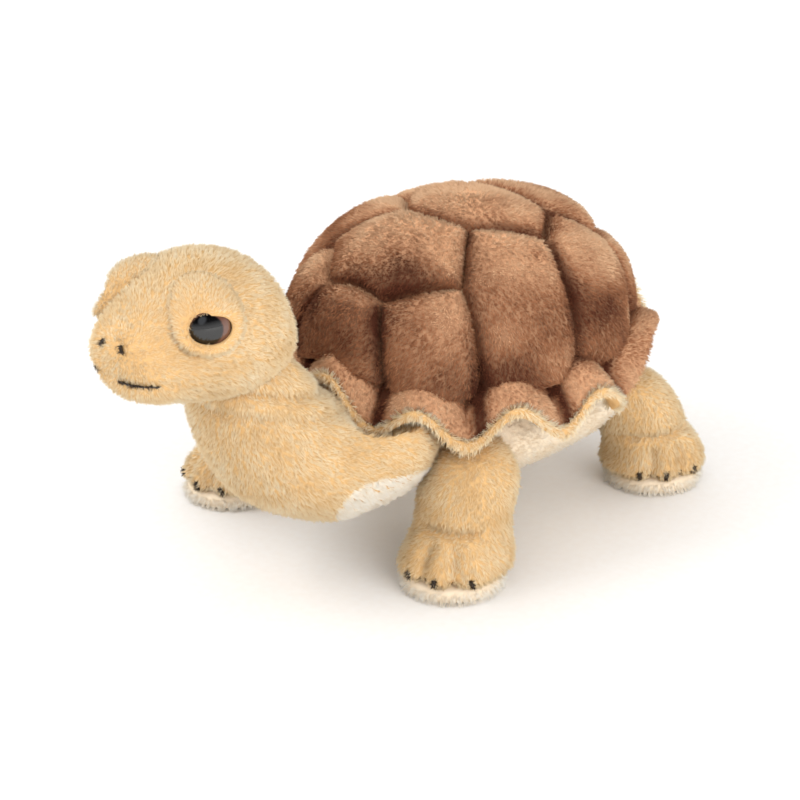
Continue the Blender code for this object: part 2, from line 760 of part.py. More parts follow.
def head(joint):
    """The stuffed head, hollowed round the ball at the top of the neck."""
    centre = Vector((0.0, -HEAD_AHEAD, HEAD_CENTRE_HEIGHT))
    rings = []
    for along, side, top, bottom in HEAD_SECTION_SHARES:
        rings.append(cage_ring(
            centre + Vector((0.0, -along * HEAD_LENGTH, (top + bottom) / 2 * HEAD_HEIGHT)),
            Vector((side * HEAD_WIDTH, 0.0, 0.0)),
            Vector((0.0, 0.0, (top - bottom) / 2 * HEAD_HEIGHT)),
            CAGE_SIDES,
        ))
    return stuffed_form("head", rings, TAN_PLUSH, joint)


def turned(name, profile, closed, frame):
    """A turned shape: a profile, out from the axis and up along it, swept by a Screw modifier."""
    points = [(out, 0.0, up) for out, up in profile]
    edges = [(index, index + 1) for index in range(len(points) - 1)]
    if closed:
        edges.append((len(points) - 1, 0))
    outline = bpy.data.meshes.new(name + "_profile")
    outline.from_pydata(points, edges, [])
    lathe = bpy.data.objects.new(name + "_lathe", outline)
    CUTTERS.objects.link(lathe)
    screw = lathe.modifiers.new("turn", "SCREW")
    screw.steps = EYE_TURN_STEPS
    screw.render_steps = EYE_TURN_STEPS
    screw.use_merge_vertices = True
    screw.merge_threshold = MERGE_DISTANCE
    bpy.context.view_layer.update()
    mesh = evaluated_mesh(lathe)
    bpy.data.objects.remove(lathe, do_unlink=True)
    shape = bmesh.new()
    shape.from_mesh(mesh)
    bmesh.ops.remove_doubles(shape, verts=shape.verts, dist=MERGE_DISTANCE)
    bmesh.ops.recalc_face_normals(shape, faces=shape.faces)
    shape.to_mesh(mesh)
    shape.free()
    mesh.transform(frame)
    return mesh


def eye_profile():
    """The eye: a low dome on a flange, with a shank behind it."""
    radius = EYE_DIAMETER / 2
    shank = SHANK_DIAMETER / 2
    arc = []
    for step in range(EYE_ARC_STEPS + 1):
        turn = math.pi / 2 * step / EYE_ARC_STEPS
        arc.append((radius * math.sin(turn), EYE_DOME * math.cos(turn)))
    return arc + [
        (radius, -EYE_FLANGE),
        (shank, -EYE_FLANGE),
        (shank, -SHANK_LENGTH),
        (0.0, -SHANK_LENGTH),
    ]


def washer_profile():
    """The lock washer that grips the shank inside the head."""
    inner = SHANK_DIAMETER / 2 + SEAM_GAP
    outer = WASHER_DIAMETER / 2
    return [
        (outer, -WASHER_DEPTH),
        (outer, -WASHER_DEPTH - WASHER_THICKNESS),
        (inner, -WASHER_DEPTH - WASHER_THICKNESS),
        (inner, -WASHER_DEPTH),
    ]


def pocket_profile():
    """The room for an eye, its shank and its washer, open to the outside."""
    radius = EYE_DIAMETER / 2 + SEAM_GAP
    shank = SHANK_DIAMETER / 2 + SEAM_GAP
    washer = WASHER_DIAMETER / 2 + SEAM_GAP
    top = -WASHER_DEPTH + SEAM_GAP
    bottom = -WASHER_DEPTH - WASHER_THICKNESS - SEAM_GAP
    mouth = EYE_DOME + EYELID_PUFF + CUT_OVERRUN
    return [
        (0.0, mouth),
        (radius, mouth),
        (radius, -EYE_FLANGE - SEAM_GAP),
        (shank, -EYE_FLANGE - SEAM_GAP),
        (shank, top),
        (washer, top),
        (washer, bottom),
        (shank, bottom),
        (shank, -SHANK_LENGTH - SEAM_GAP),
        (0.0, -SHANK_LENGTH - SEAM_GAP),
    ]


def skin_point(part, outside, inward):
    """Where a straight line from outside meets a part's surface."""
    graph = bpy.context.evaluated_depsgraph_get()
    graph.update()
    local = part.matrix_world.inverted()
    found, place, _, _ = part.evaluated_get(graph).ray_cast(local @ outside, inward)
    return part.matrix_world @ place if found else outside


def eyes(face, joint):
    """Both eyes, their washers and the padded eyelids round them, seated on the head's skin."""
    for label, side in (("left", 1), ("right", -1)):
        outward = Vector((
            side * math.sin(EYE_TURN) * math.cos(EYE_TILT),
            -math.cos(EYE_TURN) * math.cos(EYE_TILT),
            math.sin(EYE_TILT),
        ))
        aim = Vector((side * EYE_OUT, -EYE_AHEAD, EYE_HEIGHT))
        seat = skin_point(face, aim + outward * HEAD_WIDTH, -outward) - outward * EYE_SINK
        turn = outward.to_track_quat("Z", "Y").to_matrix().to_4x4()
        frame = Matrix.Translation(seat) @ turn
        upward = turn.to_3x3() @ Vector((0.0, 1.0, 0.0))
        lid_seat = seat + upward * EYELID_LIFT - outward * EYELID_SINK
        lid_frame = Matrix.Translation(lid_seat) @ turn @ Matrix.Rotation(-EYELID_TILT, 4, "X")
        lid_size = Matrix.Diagonal((EYELID_WIDTH / 2, EYELID_HEIGHT / 2, EYELID_PUFF, 1.0))
        shape = bmesh.new()
        bmesh.ops.create_uvsphere(shape, u_segments=EYELID_SEGMENTS, v_segments=EYELID_RINGS, radius=1.0)
        bmesh.ops.transform(shape, matrix=lid_frame @ lid_size, verts=shape.verts)
        lid_mesh = bpy.data.meshes.new("eyelid_" + label)
        shape.to_mesh(lid_mesh)
        shape.free()
        lid = add_part("eyelid_" + label, lid_mesh, TAN_PLUSH, joint)
        boolean(lid, add_cutter("head_under_lid_" + label, grown_mesh(face, SEAM_GAP)), "DIFFERENCE")
        pocket = add_cutter("eye_pocket_" + label, turned("eye_pocket", pocket_profile(), False, frame))
        boolean(lid, pocket, "DIFFERENCE")
        add_part("eye_" + label, turned("eye", eye_profile(), False, frame), EYE_PLASTIC, joint)
        washer = turned("eye_washer", washer_profile(), True, frame)
        add_part("eye_washer_" + label, washer, WASHER_PLASTIC, joint)
        yield pocket


# Legs


def leg(name, hip, foot, foot_length, trunk_forms, room, joint):
    """A stuffed leg that tapers to its ankle and swells into the foot, on a round hip."""
    rings = []
    span = hip.z - SOLE_THICKNESS - SEAM_GAP
    for up, lean, side, depth, ahead in LEG_SECTION_SHARES:
        centre = foot.lerp(hip, lean)
        centre.y -= ahead * foot_length
        centre.z = SOLE_THICKNESS + SEAM_GAP + up * span
        rings.append(cage_ring(
            centre,
            Vector((side * FOOT_WIDTH, 0.0, 0.0)),
            Vector((0.0, depth * foot_length, 0.0)),
            LIMB_CAGE_SIDES,
        ))
    limb = stuffed_form(name, rings, TAN_PLUSH, joint)
    clear_the_swing(limb, trunk_forms, hip, LEG_SWING)
    ball = add_cutter(name + "_hip_ball", ball_mesh(name + "_hip_ball", hip, HIP_BALL_RADIUS))
    boolean(limb, ball, "UNION", "MANIFOLD")
    clear_the_swing(limb, (room,), hip, LEG_SWING)
    return limb


def sole(name, foot, foot_length, floor, joint):
    """The cream pad under a foot, cut flat where the toy stands on it."""
    base_share = LEG_SECTION_SHARES[0]
    heights = (-FLAT_CUT, SOLE_THICKNESS / 2, SOLE_THICKNESS)
    widths = (base_share[2], LEG_SECTION_SHARES[1][2], base_share[2])
    rings = []
    for height, width in zip(heights, widths):
        centre = Vector((foot.x, foot.y - base_share[4] * foot_length, height))
        rings.append(cage_ring(
            centre,
            Vector((width * FOOT_WIDTH, 0.0, 0.0)),
            Vector((0.0, width * foot_length, 0.0)),
            LIMB_CAGE_SIDES,
        ))
    pad = stuffed_form(name, rings, CREAM_PLUSH, joint)
    boolean(pad, floor, "DIFFERENCE")
    return pad


def floor_cutter():
    """The space below the floor, which trims the soles flat."""
    shape = bmesh.new()
    bmesh.ops.create_cube(shape, size=1.0)
    size = Vector((SHELL_LENGTH * 2, SHELL_LENGTH * 2, CUT_OVERRUN))
    bmesh.ops.scale(shape, vec=size, verts=shape.verts)
    bmesh.ops.translate(shape, vec=Vector((0.0, 0.0, FLOOR_Z - CUT_OVERRUN / 2)), verts=shape.verts)
    mesh = bpy.data.meshes.new("below_the_floor")
    shape.to_mesh(mesh)
    shape.free()
    return add_cutter("below_the_floor", mesh)


def legs(trunk_forms, room):
    """Four legs with their soles, each on its own swing joint."""
    floor = floor_cutter()
    stance = (
        ("front_left", 1, FRONT_HIP_OUT, -FRONT_HIP_AHEAD, FRONT_HIP_HEIGHT,
         LEFT_FRONT_FOOT_OUT, -FRONT_FOOT_AHEAD, FRONT_FOOT_LENGTH),
        ("front_right", -1, FRONT_HIP_OUT, -FRONT_HIP_AHEAD, FRONT_HIP_HEIGHT,
         RIGHT_FRONT_FOOT_OUT, -FRONT_FOOT_AHEAD, FRONT_FOOT_LENGTH),
        ("rear_left", 1, REAR_HIP_OUT, REAR_HIP_BACK, REAR_HIP_HEIGHT,
         LEFT_REAR_FOOT_OUT, REAR_FOOT_BACK, REAR_FOOT_LENGTH),
        ("rear_right", -1, REAR_HIP_OUT, REAR_HIP_BACK, REAR_HIP_HEIGHT,
         RIGHT_REAR_FOOT_OUT, REAR_FOOT_BACK, REAR_FOOT_LENGTH),
    )
    hips = []
    for label, side, hip_out, hip_back, hip_height, foot_out, foot_back, foot_length in stance:
        hip = Vector((side * hip_out, hip_back, hip_height))
        foot = Vector((side * foot_out, foot_back, SOLE_THICKNESS))
        joint = add_empty("joint_leg_" + label, hip, PARTS, ROOT)
        leg("leg_" + label, hip, foot, foot_length, trunk_forms, room, joint)
        sole("sole_" + label, foot, foot_length, floor, joint)
        hips.append(hip)
    return hips


def seat_joints(trunk_forms, hips):
    """Hollow the trunk round each hip, a swing's gap larger than the ball in it."""
    for number, hip in enumerate(hips):
        socket = ball_mesh("hip_socket_" + str(number), hip, HIP_BALL_RADIUS + SWING_GAP)
        cutter = add_cutter("hip_socket_" + str(number), socket)
        for form in trunk_forms:
            boolean(form, cutter, "DIFFERENCE")


def cut_by(part, larger, gap=SEAM_GAP):
    """Cut a form by a larger one that it is sewn against."""
    boolean(part, add_cutter(part.name + "_against_" + larger.name, grown_mesh(larger, gap)), "DIFFERENCE")


def centre_on_origin():
    """Move the toy so that the middle of its footprint is the origin."""
    graph = bpy.context.evaluated_depsgraph_get()
    graph.update()
    corners = []
    for part in PARTS.objects:
        if part.type == "MESH":
            seen = part.evaluated_get(graph)
            corners.extend(part.matrix_world @ Vector(corner) for corner in seen.bound_box)
    for axis in (0, 1):
        low = min(corner[axis] for corner in corners)
        high = max(corner[axis] for corner in corners)
        ROOT.location[axis] -= (low + high) / 2
    bpy.context.view_layer.update()


def main():
    """Build the toy from its largest forms to its smallest."""
    shell()
    room = room_of_shell()
    cushion = belly()
    neck = neck_and_chest()
    rump = tail()
    cut_by(neck, cushion)
    cut_by(rump, cushion)
    pivot = Vector((0.0, -NOD_PIVOT_AHEAD, NOD_PIVOT_HEIGHT))
    nod = add_empty("joint_head", pivot, PARTS, ROOT)
    face = head(nod)
    pockets = list(eyes(face, nod))
    clear_the_swing(face, (neck,), pivot, NOD_RANGE)
    hips = legs((cushion, neck), room)
    ball = ball_mesh("neck_ball", pivot, NOD_BALL_RADIUS)
    boolean(neck, add_cutter("neck_ball", ball), "UNION", "MANIFOLD")
    socket = ball_mesh("neck_socket", pivot, NOD_BALL_RADIUS + SWING_GAP)
    boolean(face, add_cutter("neck_socket", socket), "DIFFERENCE")
    for pocket in pockets:
        boolean(face, pocket, "DIFFERENCE")
    for form in (cushion, neck, rump):
        boolean(form, room, "DIFFERENCE")
    seat_joints((cushion, neck), hips)
    centre_on_origin()


clear_scene()
PARTS = new_collection(COLLECTION_NAME)
CUTTERS = new_collection("cutters")
ROOT = add_empty("turtle_root", (0.0, 0.0, 0.0), PARTS)
main()
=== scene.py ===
"""Looks of the plush turtle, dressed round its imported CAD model.

Sizes are in millimetres in the toy's own layout: the origin is on the floor under the middle of the
shell, the head points to -Y and the toy's left side is +X. Layout.to_row() turns them into metres in
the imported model's frame.
"""
from __future__ import annotations

import json
import logging
import math
from dataclasses import dataclass, field
from enum import Enum
from typing import Any, Callable

import bpy
import numpy as np
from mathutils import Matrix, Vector

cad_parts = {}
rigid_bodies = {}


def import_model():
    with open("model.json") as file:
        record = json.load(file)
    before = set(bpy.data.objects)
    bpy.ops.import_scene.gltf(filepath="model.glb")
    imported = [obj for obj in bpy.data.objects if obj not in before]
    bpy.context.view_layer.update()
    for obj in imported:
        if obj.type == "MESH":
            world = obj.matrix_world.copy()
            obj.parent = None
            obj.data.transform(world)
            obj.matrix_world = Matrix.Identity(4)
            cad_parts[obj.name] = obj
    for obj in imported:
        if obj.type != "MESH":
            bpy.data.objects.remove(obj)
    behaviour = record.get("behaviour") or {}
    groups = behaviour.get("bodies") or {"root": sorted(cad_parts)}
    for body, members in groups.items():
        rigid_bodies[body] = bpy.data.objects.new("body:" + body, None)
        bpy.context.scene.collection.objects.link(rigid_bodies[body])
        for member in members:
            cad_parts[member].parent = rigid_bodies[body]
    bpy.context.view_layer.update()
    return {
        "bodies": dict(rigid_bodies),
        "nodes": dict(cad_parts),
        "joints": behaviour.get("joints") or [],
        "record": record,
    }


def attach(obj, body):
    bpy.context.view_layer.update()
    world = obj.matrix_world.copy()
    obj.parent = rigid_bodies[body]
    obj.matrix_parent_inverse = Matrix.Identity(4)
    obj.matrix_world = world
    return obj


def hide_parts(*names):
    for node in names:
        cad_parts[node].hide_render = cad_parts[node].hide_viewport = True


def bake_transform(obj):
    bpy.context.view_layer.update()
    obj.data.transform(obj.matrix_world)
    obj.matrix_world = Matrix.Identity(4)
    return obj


LOG = logging.getLogger("plush_turtle")
MM = 0.001
PILE_MAP = "OFBake"
EYE_MAP = "face"
TONE = "tone"
MOST_STRANDS = 48000
BATCH = 2000
DEPTH_SAMPLES = 1800
NOD_PIVOT = np.array((0.0, -97.0, 78.0))
HASH_STEPS = np.array((374761393, 668265263, 2147483647))
HASH_SEED, HASH_MIX, HASH_MASK = 974634777, 1274126177, 0x7FFFFFFF
SPIKE_FACES = np.array(((0, 2, 1), (0, 1, 3), (1, 2, 3), (2, 0, 3)))
SPIKE_ALONG = np.array((0.03, 0.03, 0.03, 0.97))

Array = np.ndarray
Pair = tuple[float, float]
Triple = tuple[float, float, float]
Field = Callable[[Array, Array], Array]


class Side(Enum):
    """The toy's own left or right."""

    LEFT = 1
    RIGHT = -1

    @property
    def label(self) -> str:
        """The word that names pieces of this side."""
        return self.name.lower()


# Numbers, colours and nodes


def srgb(code: str) -> tuple[float, float, float, float]:
    """Turn an sRGB hex colour into linear light.

    Args:
        code: six hex digits after a hash.

    Returns:
        Linear red, green and blue, with an alpha of one.
    """
    shares = [int(code[place:place + 2], 16) / 255 for place in (1, 3, 5)]
    linear = [share / 12.92 if share <= 0.04045 else ((share + 0.055) / 1.055) ** 2.4 for share in shares]
    return (linear[0], linear[1], linear[2], 1.0)


def unit(vectors: Array) -> Array:
    """Scale vectors to a length of one: v / |v|."""
    return vectors / np.maximum(np.linalg.norm(vectors, axis=-1, keepdims=True), 1e-9)


def smooth(share: Array) -> Array:
    """A smooth step from 0 to 1: 3s² - 2s³, with s held between 0 and 1."""
    held = np.clip(share, 0.0, 1.0)
    return held * held * (3.0 - 2.0 * held)


def wrapped(angle: Array) -> Array:
    """The same angle in radians, between half a turn back and half a turn on."""
    return np.remainder(angle + math.pi, math.tau) - math.pi


def axis_rows(lengths: Array, axis: int) -> Array:
    """Rows of vectors along one axis: 0 is x, 1 is y and 2 is z."""
    return lengths[:, None] * np.eye(3)[axis]


def line_distance(places: Array, line: Array) -> Array:
    """How far each place is from the nearest point of a line."""
    return np.sqrt(((places[:, None] - line[None]) ** 2).sum(2).min(1))


def lattice_noise(points: Array, cell: float, seed: int) -> Array:
    """Soft random values in space, blended between the corners of a cubic lattice.

    Each corner's value is a hash of its whole-number place, and a point takes the three-way smooth
    blend of its cell's eight corners.

    Args:
        points: places, in millimetres.
        cell: size of a lattice cell, in millimetres.
        seed: which noise to make.

    Returns:
        A value from 0 to 1 for each point.
    """
    scaled = points / cell
    whole = np.floor(scaled).astype(np.int64)
    part = smooth(scaled - whole)
    total = np.zeros(len(points))
    for corner in range(8):
        step = np.array((corner & 1, corner >> 1 & 1, corner >> 2 & 1))
        place = whole + step
        mixed = place @ HASH_STEPS + seed * HASH_SEED
        mixed = (mixed ^ (mixed >> 13)) * HASH_MIX & HASH_MASK
        value = (mixed ^ (mixed >> 16) & HASH_MASK) / HASH_MASK
        weight = np.prod(np.where(step == 1, part, 1.0 - part), axis=1)
        total += weight * value
    return total


def nearest(places: Array, targets: Array) -> tuple[Array, Array]:
    """Find each place's nearest target, from |p|² + |t|² - 2 p.t.

    Args:
        places: the places.
        targets: what to look among.

    Returns:
        The targets' numbers and the distances.
    """
    here, there = places.astype(np.float32), targets.astype(np.float32)
    square = (there ** 2).sum(1)[None]
    found, gap = np.empty(len(here), int), np.empty(len(here))
    for start in range(0, len(here), BATCH):
        part = here[start:start + BATCH]
        score = square - 2.0 * part @ there.T
        best = score.argmin(1)
        found[start:start + BATCH] = best
        gap[start:start + BATCH] = score[np.arange(len(part)), best] + (part ** 2).sum(1)
    return found, np.sqrt(np.maximum(gap, 0.0))


def feed(tree: bpy.types.NodeTree, node: Any, inputs: dict[Any, Any]) -> None:
    """Give a node's inputs plain values, or links from output sockets.

    Args:
        tree: the node tree.
        node: the node.
        inputs: values or output sockets, by the name or number of the input they go to.
    """
    for name, value in inputs.items():
        if isinstance(value, bpy.types.NodeSocket):
            tree.links.new(value, node.inputs[name])
        else:
            node.inputs[name].default_value = value


def add_node(tree: bpy.types.NodeTree, kind: str, inputs: dict[Any, Any] | None = None, **settings: Any) -> Any:
    """Add one shader node.

    Args:
        tree: the node tree.
        kind: the node's type.
        inputs: values or output sockets, by the name or number of the input they go to.
        settings: the node's own settings.

    Returns:
        The new node.
    """
    node = tree.nodes.new(kind)
    for name, value in settings.items():
        setattr(node, name, value)
    feed(tree, node, inputs or {})
    return node


def add_ramp(tree: bpy.types.NodeTree, value: Any, stops: list[tuple[float, str]]) -> Any:
    """Add a colour ramp.

    Args:
        tree: the node tree.
        value: the output socket that runs it.
        stops: places along the ramp with their sRGB hex colours.

    Returns:
        The ramp's colour output.
    """
    node = add_node(tree, "ShaderNodeValToRGB", {"Fac": value})
    ramp = node.color_ramp
    while len(ramp.elements) < len(stops):
        ramp.elements.new(0.5)
    for element, (place, code) in zip(ramp.elements, stops):
        element.position = place
        element.color = srgb(code)
    return node.outputs["Color"]


def new_material(name: str) -> tuple[bpy.types.Material, bpy.types.NodeTree, Any]:
    """Start a material.

    Args:
        name: the material's name.

    Returns:
        The material, its node tree and its Principled shader.
    """
    material = bpy.data.materials.new(name)
    material.use_nodes = True
    tree = material.node_tree
    return material, tree, tree.nodes["Principled BSDF"]


# Finishes


@dataclass(frozen=True)
class PlushFinish:
    """Polyester minky plush, knitted and sheared, with its pile brushed in tufts.

    The pile scatters light softly. Its colour runs from root to tip: the darker roots are painted shade deep in
    the pile, between its tufts, and the pale tips are painted light. A little sheen softens it where it is seen
    edge on.
    """

    slot: str
    root: tuple[str, str]
    body: tuple[str, str, str]
    tip: tuple[str, str, str]
    ground: tuple[str, str]
    mottle: float
    sheen: float = 0.06
    sheen_tint: str = "#FFF3DF"
    roughness: float = 0.88
    loop: float = 0.9

    def shade(self, tree: bpy.types.NodeTree, shader: Any, looks: dict[str, Any]) -> None:
        """Finish the shader with its own looks, matt, with the pile's sheen."""
        feed(tree, shader, {
            **looks, "Roughness": self.roughness, "IOR": 1.5, "Specular IOR Level": 0.0,
            "Sheen Weight": self.sheen, "Sheen Roughness": 0.45, "Sheen Tint": srgb(self.sheen_tint),
        })

    def cloth(self, name: str) -> bpy.types.Material:
        """The knitted ground under the pile, as dark as the pile over it, mottled by place.

        Args:
            name: the piece that it dresses.

        Returns:
            The material.
        """
        material, tree, shader = new_material(name + "_knit_ground")
        place = add_node(tree, "ShaderNodeTexCoord").outputs["Object"]
        cells = 1.0 / (self.mottle * MM)
        patch = add_node(tree, "ShaderNodeTexNoise", {"Vector": place, "Scale": cells, "Detail": 3.0})
        tone = add_node(tree, "ShaderNodeAttribute", attribute_name=TONE).outputs["Fac"]
        mixed = add_node(tree, "ShaderNodeMix", {0: 0.3, 2: tone, 3: patch.outputs["Fac"]}, data_type="FLOAT")
        colour = add_ramp(tree, mixed.outputs[0], [(0.15, self.ground[0]), (0.85, self.ground[1])])
        loops = add_node(
            tree, "ShaderNodeTexNoise", {"Vector": place, "Scale": 1.0 / (self.loop * MM), "Detail": 2.0})
        bump = add_node(
            tree, "ShaderNodeBump", {"Height": loops.outputs["Fac"], "Distance": 0.3 * MM, "Strength": 0.6})
        self.shade(tree, shader, {"Base Color": colour, "Normal": bump.outputs["Normal"]})
        return material

    def pile(self, name: str) -> bpy.types.Material:
        """The pile itself, coloured by its strand map: across is the tuft's tone, up is from root to tip.

        Args:
            name: the piece that it dresses.

        Returns:
            The material.
        """
        material, tree, shader = new_material(name + "_brushed_pile")
        strand = add_node(tree, "ShaderNodeUVMap", uv_map=PILE_MAP)
        split = add_node(tree, "ShaderNodeSeparateXYZ", {"Vector": strand.outputs["UV"]})
        tone, along = split.outputs["X"], split.outputs["Y"]
        # The ramps run from dark at the root to pale at the tip: painted shade deep in the pile, painted light
        # on the tips.
        colour = add_ramp(tree, tone, list(zip((0.0, 1.0), self.root)))
        for shades, low, high in ((self.body, 0.05, 0.55), (self.tip, 0.5, 1.0)):
            share = add_node(tree, "ShaderNodeMapRange", {"Value": along, "From Min": low, "From Max": high})
            shade = add_ramp(tree, tone, list(zip((0.0, 0.5, 1.0), shades)))
            mixed = add_node(
                tree, "ShaderNodeMix", {"Factor": share.outputs["Result"], 6: colour, 7: shade},
                data_type="RGBA")
            colour = mixed.outputs[2]
        self.shade(tree, shader, {"Base Color": colour})
        return material


TAN = PlushFinish(
    slot="tan_plush",
    root=("#C99E69", "#DDB681"),
    body=("#E0BA86", "#EFD0A0", "#F7DFB6"),
    tip=("#F0D2A4", "#FBE7C4", "#FFF6E0"),
    ground=("#D2A872", "#DFB985"),
    mottle=6.0,
    sheen=0.02,
)
BROWN = PlushFinish(
    slot="brown_plush",
    root=("#44241A", "#DCA880"),
    body=("#5A3022", "#AC7453", "#ECC098"),
    tip=("#5C3224", "#AE7652", "#F2C8A0"),
    ground=("#46261B", "#DCA880"),
    mottle=8.0,
    sheen=0.12,
    sheen_tint="#F2D3B4",
)
FIBRES = PlushFinish(
    slot="",
    root=("#1B130E", "#2A1E16"),
    body=("#33261C", "#493829", "#5E4A38"),
    tip=("#57442F", "#775E46", "#9A8060"),
    ground=("#1B130E", "#2A1E16"),
    mottle=2.0,
    sheen=0.1,
)
CREAM = PlushFinish(
    slot="cream_plush",
    root=("#DCC2A0", "#F0E2CA"),
    body=("#E8D0B0", "#F8EDDA", "#FDF6EA"),
    tip=("#F2DEC2", "#FDF6EA", "#FFFEFA"),
    ground=("#E6D0B2", "#F2E4CE"),
    mottle=6.0,
)


@dataclass(frozen=True)
class ThreadFinish:
    """Black polyester embroidery thread, twisted: satin, with a fine slanting twist along each stitch."""

    colour: str = "#1E1712"
    # The lit colour is a painted sheen on the twist's ridges.
    lit: str = "#3A2F26"

    def dress(self, name: str) -> bpy.types.Material:
        """Make the thread's material.

        Args:
            name: the piece that it dresses.

        Returns:
            The material.
        """
        material, tree, shader = new_material(name + "_twisted_thread")
        place = add_node(tree, "ShaderNodeTexCoord").outputs["Object"]
        twist = add_node(
            tree, "ShaderNodeTexWave", {"Vector": place, "Scale": 1.0 / (2.0 * MM), "Distortion": 0.6},
            bands_direction="DIAGONAL")
        # Painted sheen: the twist's ridges take the paler lit colour.
        colour = add_ramp(tree, twist.outputs["Fac"], [(0.2, self.colour), (0.8, self.lit)])
        bump = add_node(tree, "ShaderNodeBump", {"Height": twist.outputs["Fac"], "Distance": 0.15 * MM})
        feed(tree, shader, {
            "Base Color": colour, "Normal": bump.outputs["Normal"], "Roughness": 0.45, "IOR": 1.55})
        return material


@dataclass(frozen=True)
class EyeFinish:
    """Acrylic safety eye, moulded and polished, with a black pupil on a painted brown iris.

    It is glossy all over, so that it mirrors the window of light, and nearly black in its middle.
    """

    pupil: str = "#060505"
    rim: str = "#120A07"
    iris: str = "#684639"
    iris_dark: str = "#33201A"

    def dress(self, name: str) -> bpy.types.Material:
        """Make the eye's material, from the eye's own map: its middle is (0.5, 0.5), its rim 0.5 away.

        Args:
            name: the piece that it dresses.

        Returns:
            The material.
        """
        material, tree, shader = new_material(name + "_polished_acrylic")
        face = add_node(tree, "ShaderNodeUVMap", uv_map=EYE_MAP)
        centred = add_node(
            tree, "ShaderNodeVectorMath", {0: face.outputs["UV"], 1: (0.5, 0.5, 0.0)}, operation="SUBTRACT"
        ).outputs["Vector"]
        reach = add_node(tree, "ShaderNodeVectorMath", {0: centred}, operation="LENGTH").outputs["Value"]
        streak = add_node(tree, "ShaderNodeTexNoise", {"Vector": centred, "Scale": 22.0}).outputs["Fac"]
        place = add_node(
            tree, "ShaderNodeMath", {0: streak, 1: 0.03, 2: reach}, operation="MULTIPLY_ADD").outputs["Value"]
        colour = add_ramp(tree, place, [
            (0.335, self.pupil), (0.35, self.iris_dark), (0.38, self.iris), (0.52, self.iris), (0.55, self.rim),
        ])
        feed(tree, shader, {
            "Base Color": colour, "Roughness": 0.12, "IOR": 1.49, "Coat Weight": 0.8, "Coat Roughness": 0.08})
        return material


@dataclass(frozen=True)
class WasherFinish:
    """Moulded nylon lock washer: milky white and matt, with faint cloudy marks from the mould."""

    pale: str = "#EDECE6"
    cloud: str = "#DAD8CF"

    def dress(self, name: str) -> bpy.types.Material:
        """Make the washer's material.

        Args:
            name: the piece that it dresses.

        Returns:
            The material.
        """
        material, tree, shader = new_material(name + "_moulded_nylon")
        place = add_node(tree, "ShaderNodeTexCoord").outputs["Object"]
        cloud = add_node(
            tree, "ShaderNodeTexNoise", {"Vector": place, "Scale": 1.0 / (3.0 * MM), "Detail": 2.0})
        colour = add_ramp(tree, cloud.outputs["Fac"], [(0.35, self.pale), (0.7, self.cloud)])
        feed(tree, shader, {"Base Color": colour, "Roughness": 0.5, "IOR": 1.53})
        return material


# Surfaces


@dataclass
class Layout:
    """Where the toy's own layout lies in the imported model's frame."""

    shift: Array

    @classmethod
    def from_frame(cls, frame: dict[str, Any]) -> Layout:
        """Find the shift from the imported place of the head's joint."""
        nod = next(joint for joint in frame["joints"] if joint["name"] == "head_nod")
        return cls(np.array(nod["pos_m"]) / MM - NOD_PIVOT)

    def to_row(self, points: Array) -> Array:
        """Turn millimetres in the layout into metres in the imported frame."""
        return (points + self.shift) * MM


@dataclass
class Skin:
    """A closed skin: its points in millimetres and its triangles, facing outwards."""

    points: Array
    triangles: Array

    def normals(self) -> Array:
        """The outward direction at each point: the mean of its triangles' area vectors."""
        a, b, c = (self.points[self.triangles[:, corner]] for corner in range(3))
        area = np.cross(b - a, c - a)
        total = np.zeros_like(self.points)
        for corner in range(3):
            for axis in range(3):
                total[:, axis] += np.bincount(
                    self.triangles[:, corner], weights=area[:, axis], minlength=len(self.points))
        return unit(total)

    def facing_out(self) -> Skin:
        """The same skin with its triangles turned if its enclosed volume comes out negative."""
        a, b, c = (self.points[self.triangles[:, corner]] for corner in range(3))
        if np.einsum("ij,ij->", a, np.cross(b, c)) < 0:
            return Skin(self.points, self.triangles[:, ::-1].copy())
        return self

    def moved(self, distance: Array | float) -> Skin:
        """The same skin with each point moved so far out along its normal."""
        return Skin(self.points + self.normals() * np.reshape(distance, (-1, 1)), self.triangles)

    def lumpy(self, cell: float, height: float, seed: int) -> Skin:
        """The same skin with the uneven swell of loose filling: noise x height along the normal."""
        swell = (lattice_noise(self.points, cell, seed) - 0.5) * 2.0 * height
        return self.moved(swell)

    def depth_of(self, places: Array) -> Array:
        """How deep places lie under this skin, by the nearest of its points: (near - place) . normal.

        Args:
            places: points to test, in millimetres.

        Returns:
            The depth of each, negative outside.
        """
        step = max(1, len(self.points) // DEPTH_SAMPLES)
        near, outward = self.points[::step], self.normals()[::step]
        found = nearest(places, near)[0]
        return ((near[found] - places) * outward[found]).sum(1)


def tube(rings: Array) -> Skin:
    """Close a grid of rings into a skin, with a point at each end.

    The first and last rings are the poles: each is one place, so only one point is kept for it.

    Args:
        rings: rows x columns x 3 places.

    Returns:
        The skin.
    """
    rows, columns = rings.shape[0] - 2, rings.shape[1]
    points = np.vstack((rings[0, :1], rings[1:-1].reshape(-1, 3), rings[-1, :1]))
    row, column = np.meshgrid(np.arange(rows - 1), np.arange(columns), indexing="ij")
    after = (column + 1) % columns
    low = 1 + row * columns
    corners = (low + column, low + after, low + columns + after, low + columns + column)
    a, b, c, d = (part.ravel() for part in corners)
    ring = np.arange(columns)
    turned = (ring + 1) % columns
    first = np.stack((np.zeros(columns, int), 1 + turned, 1 + ring), 1)
    last_start = 1 + (rows - 1) * columns
    last = np.stack((np.full(columns, len(points) - 1), last_start + ring, last_start + turned), 1)
    triangles = np.vstack((np.stack((a, b, c), 1), np.stack((a, c, d), 1), first, last))
    return Skin(points, triangles).facing_out()


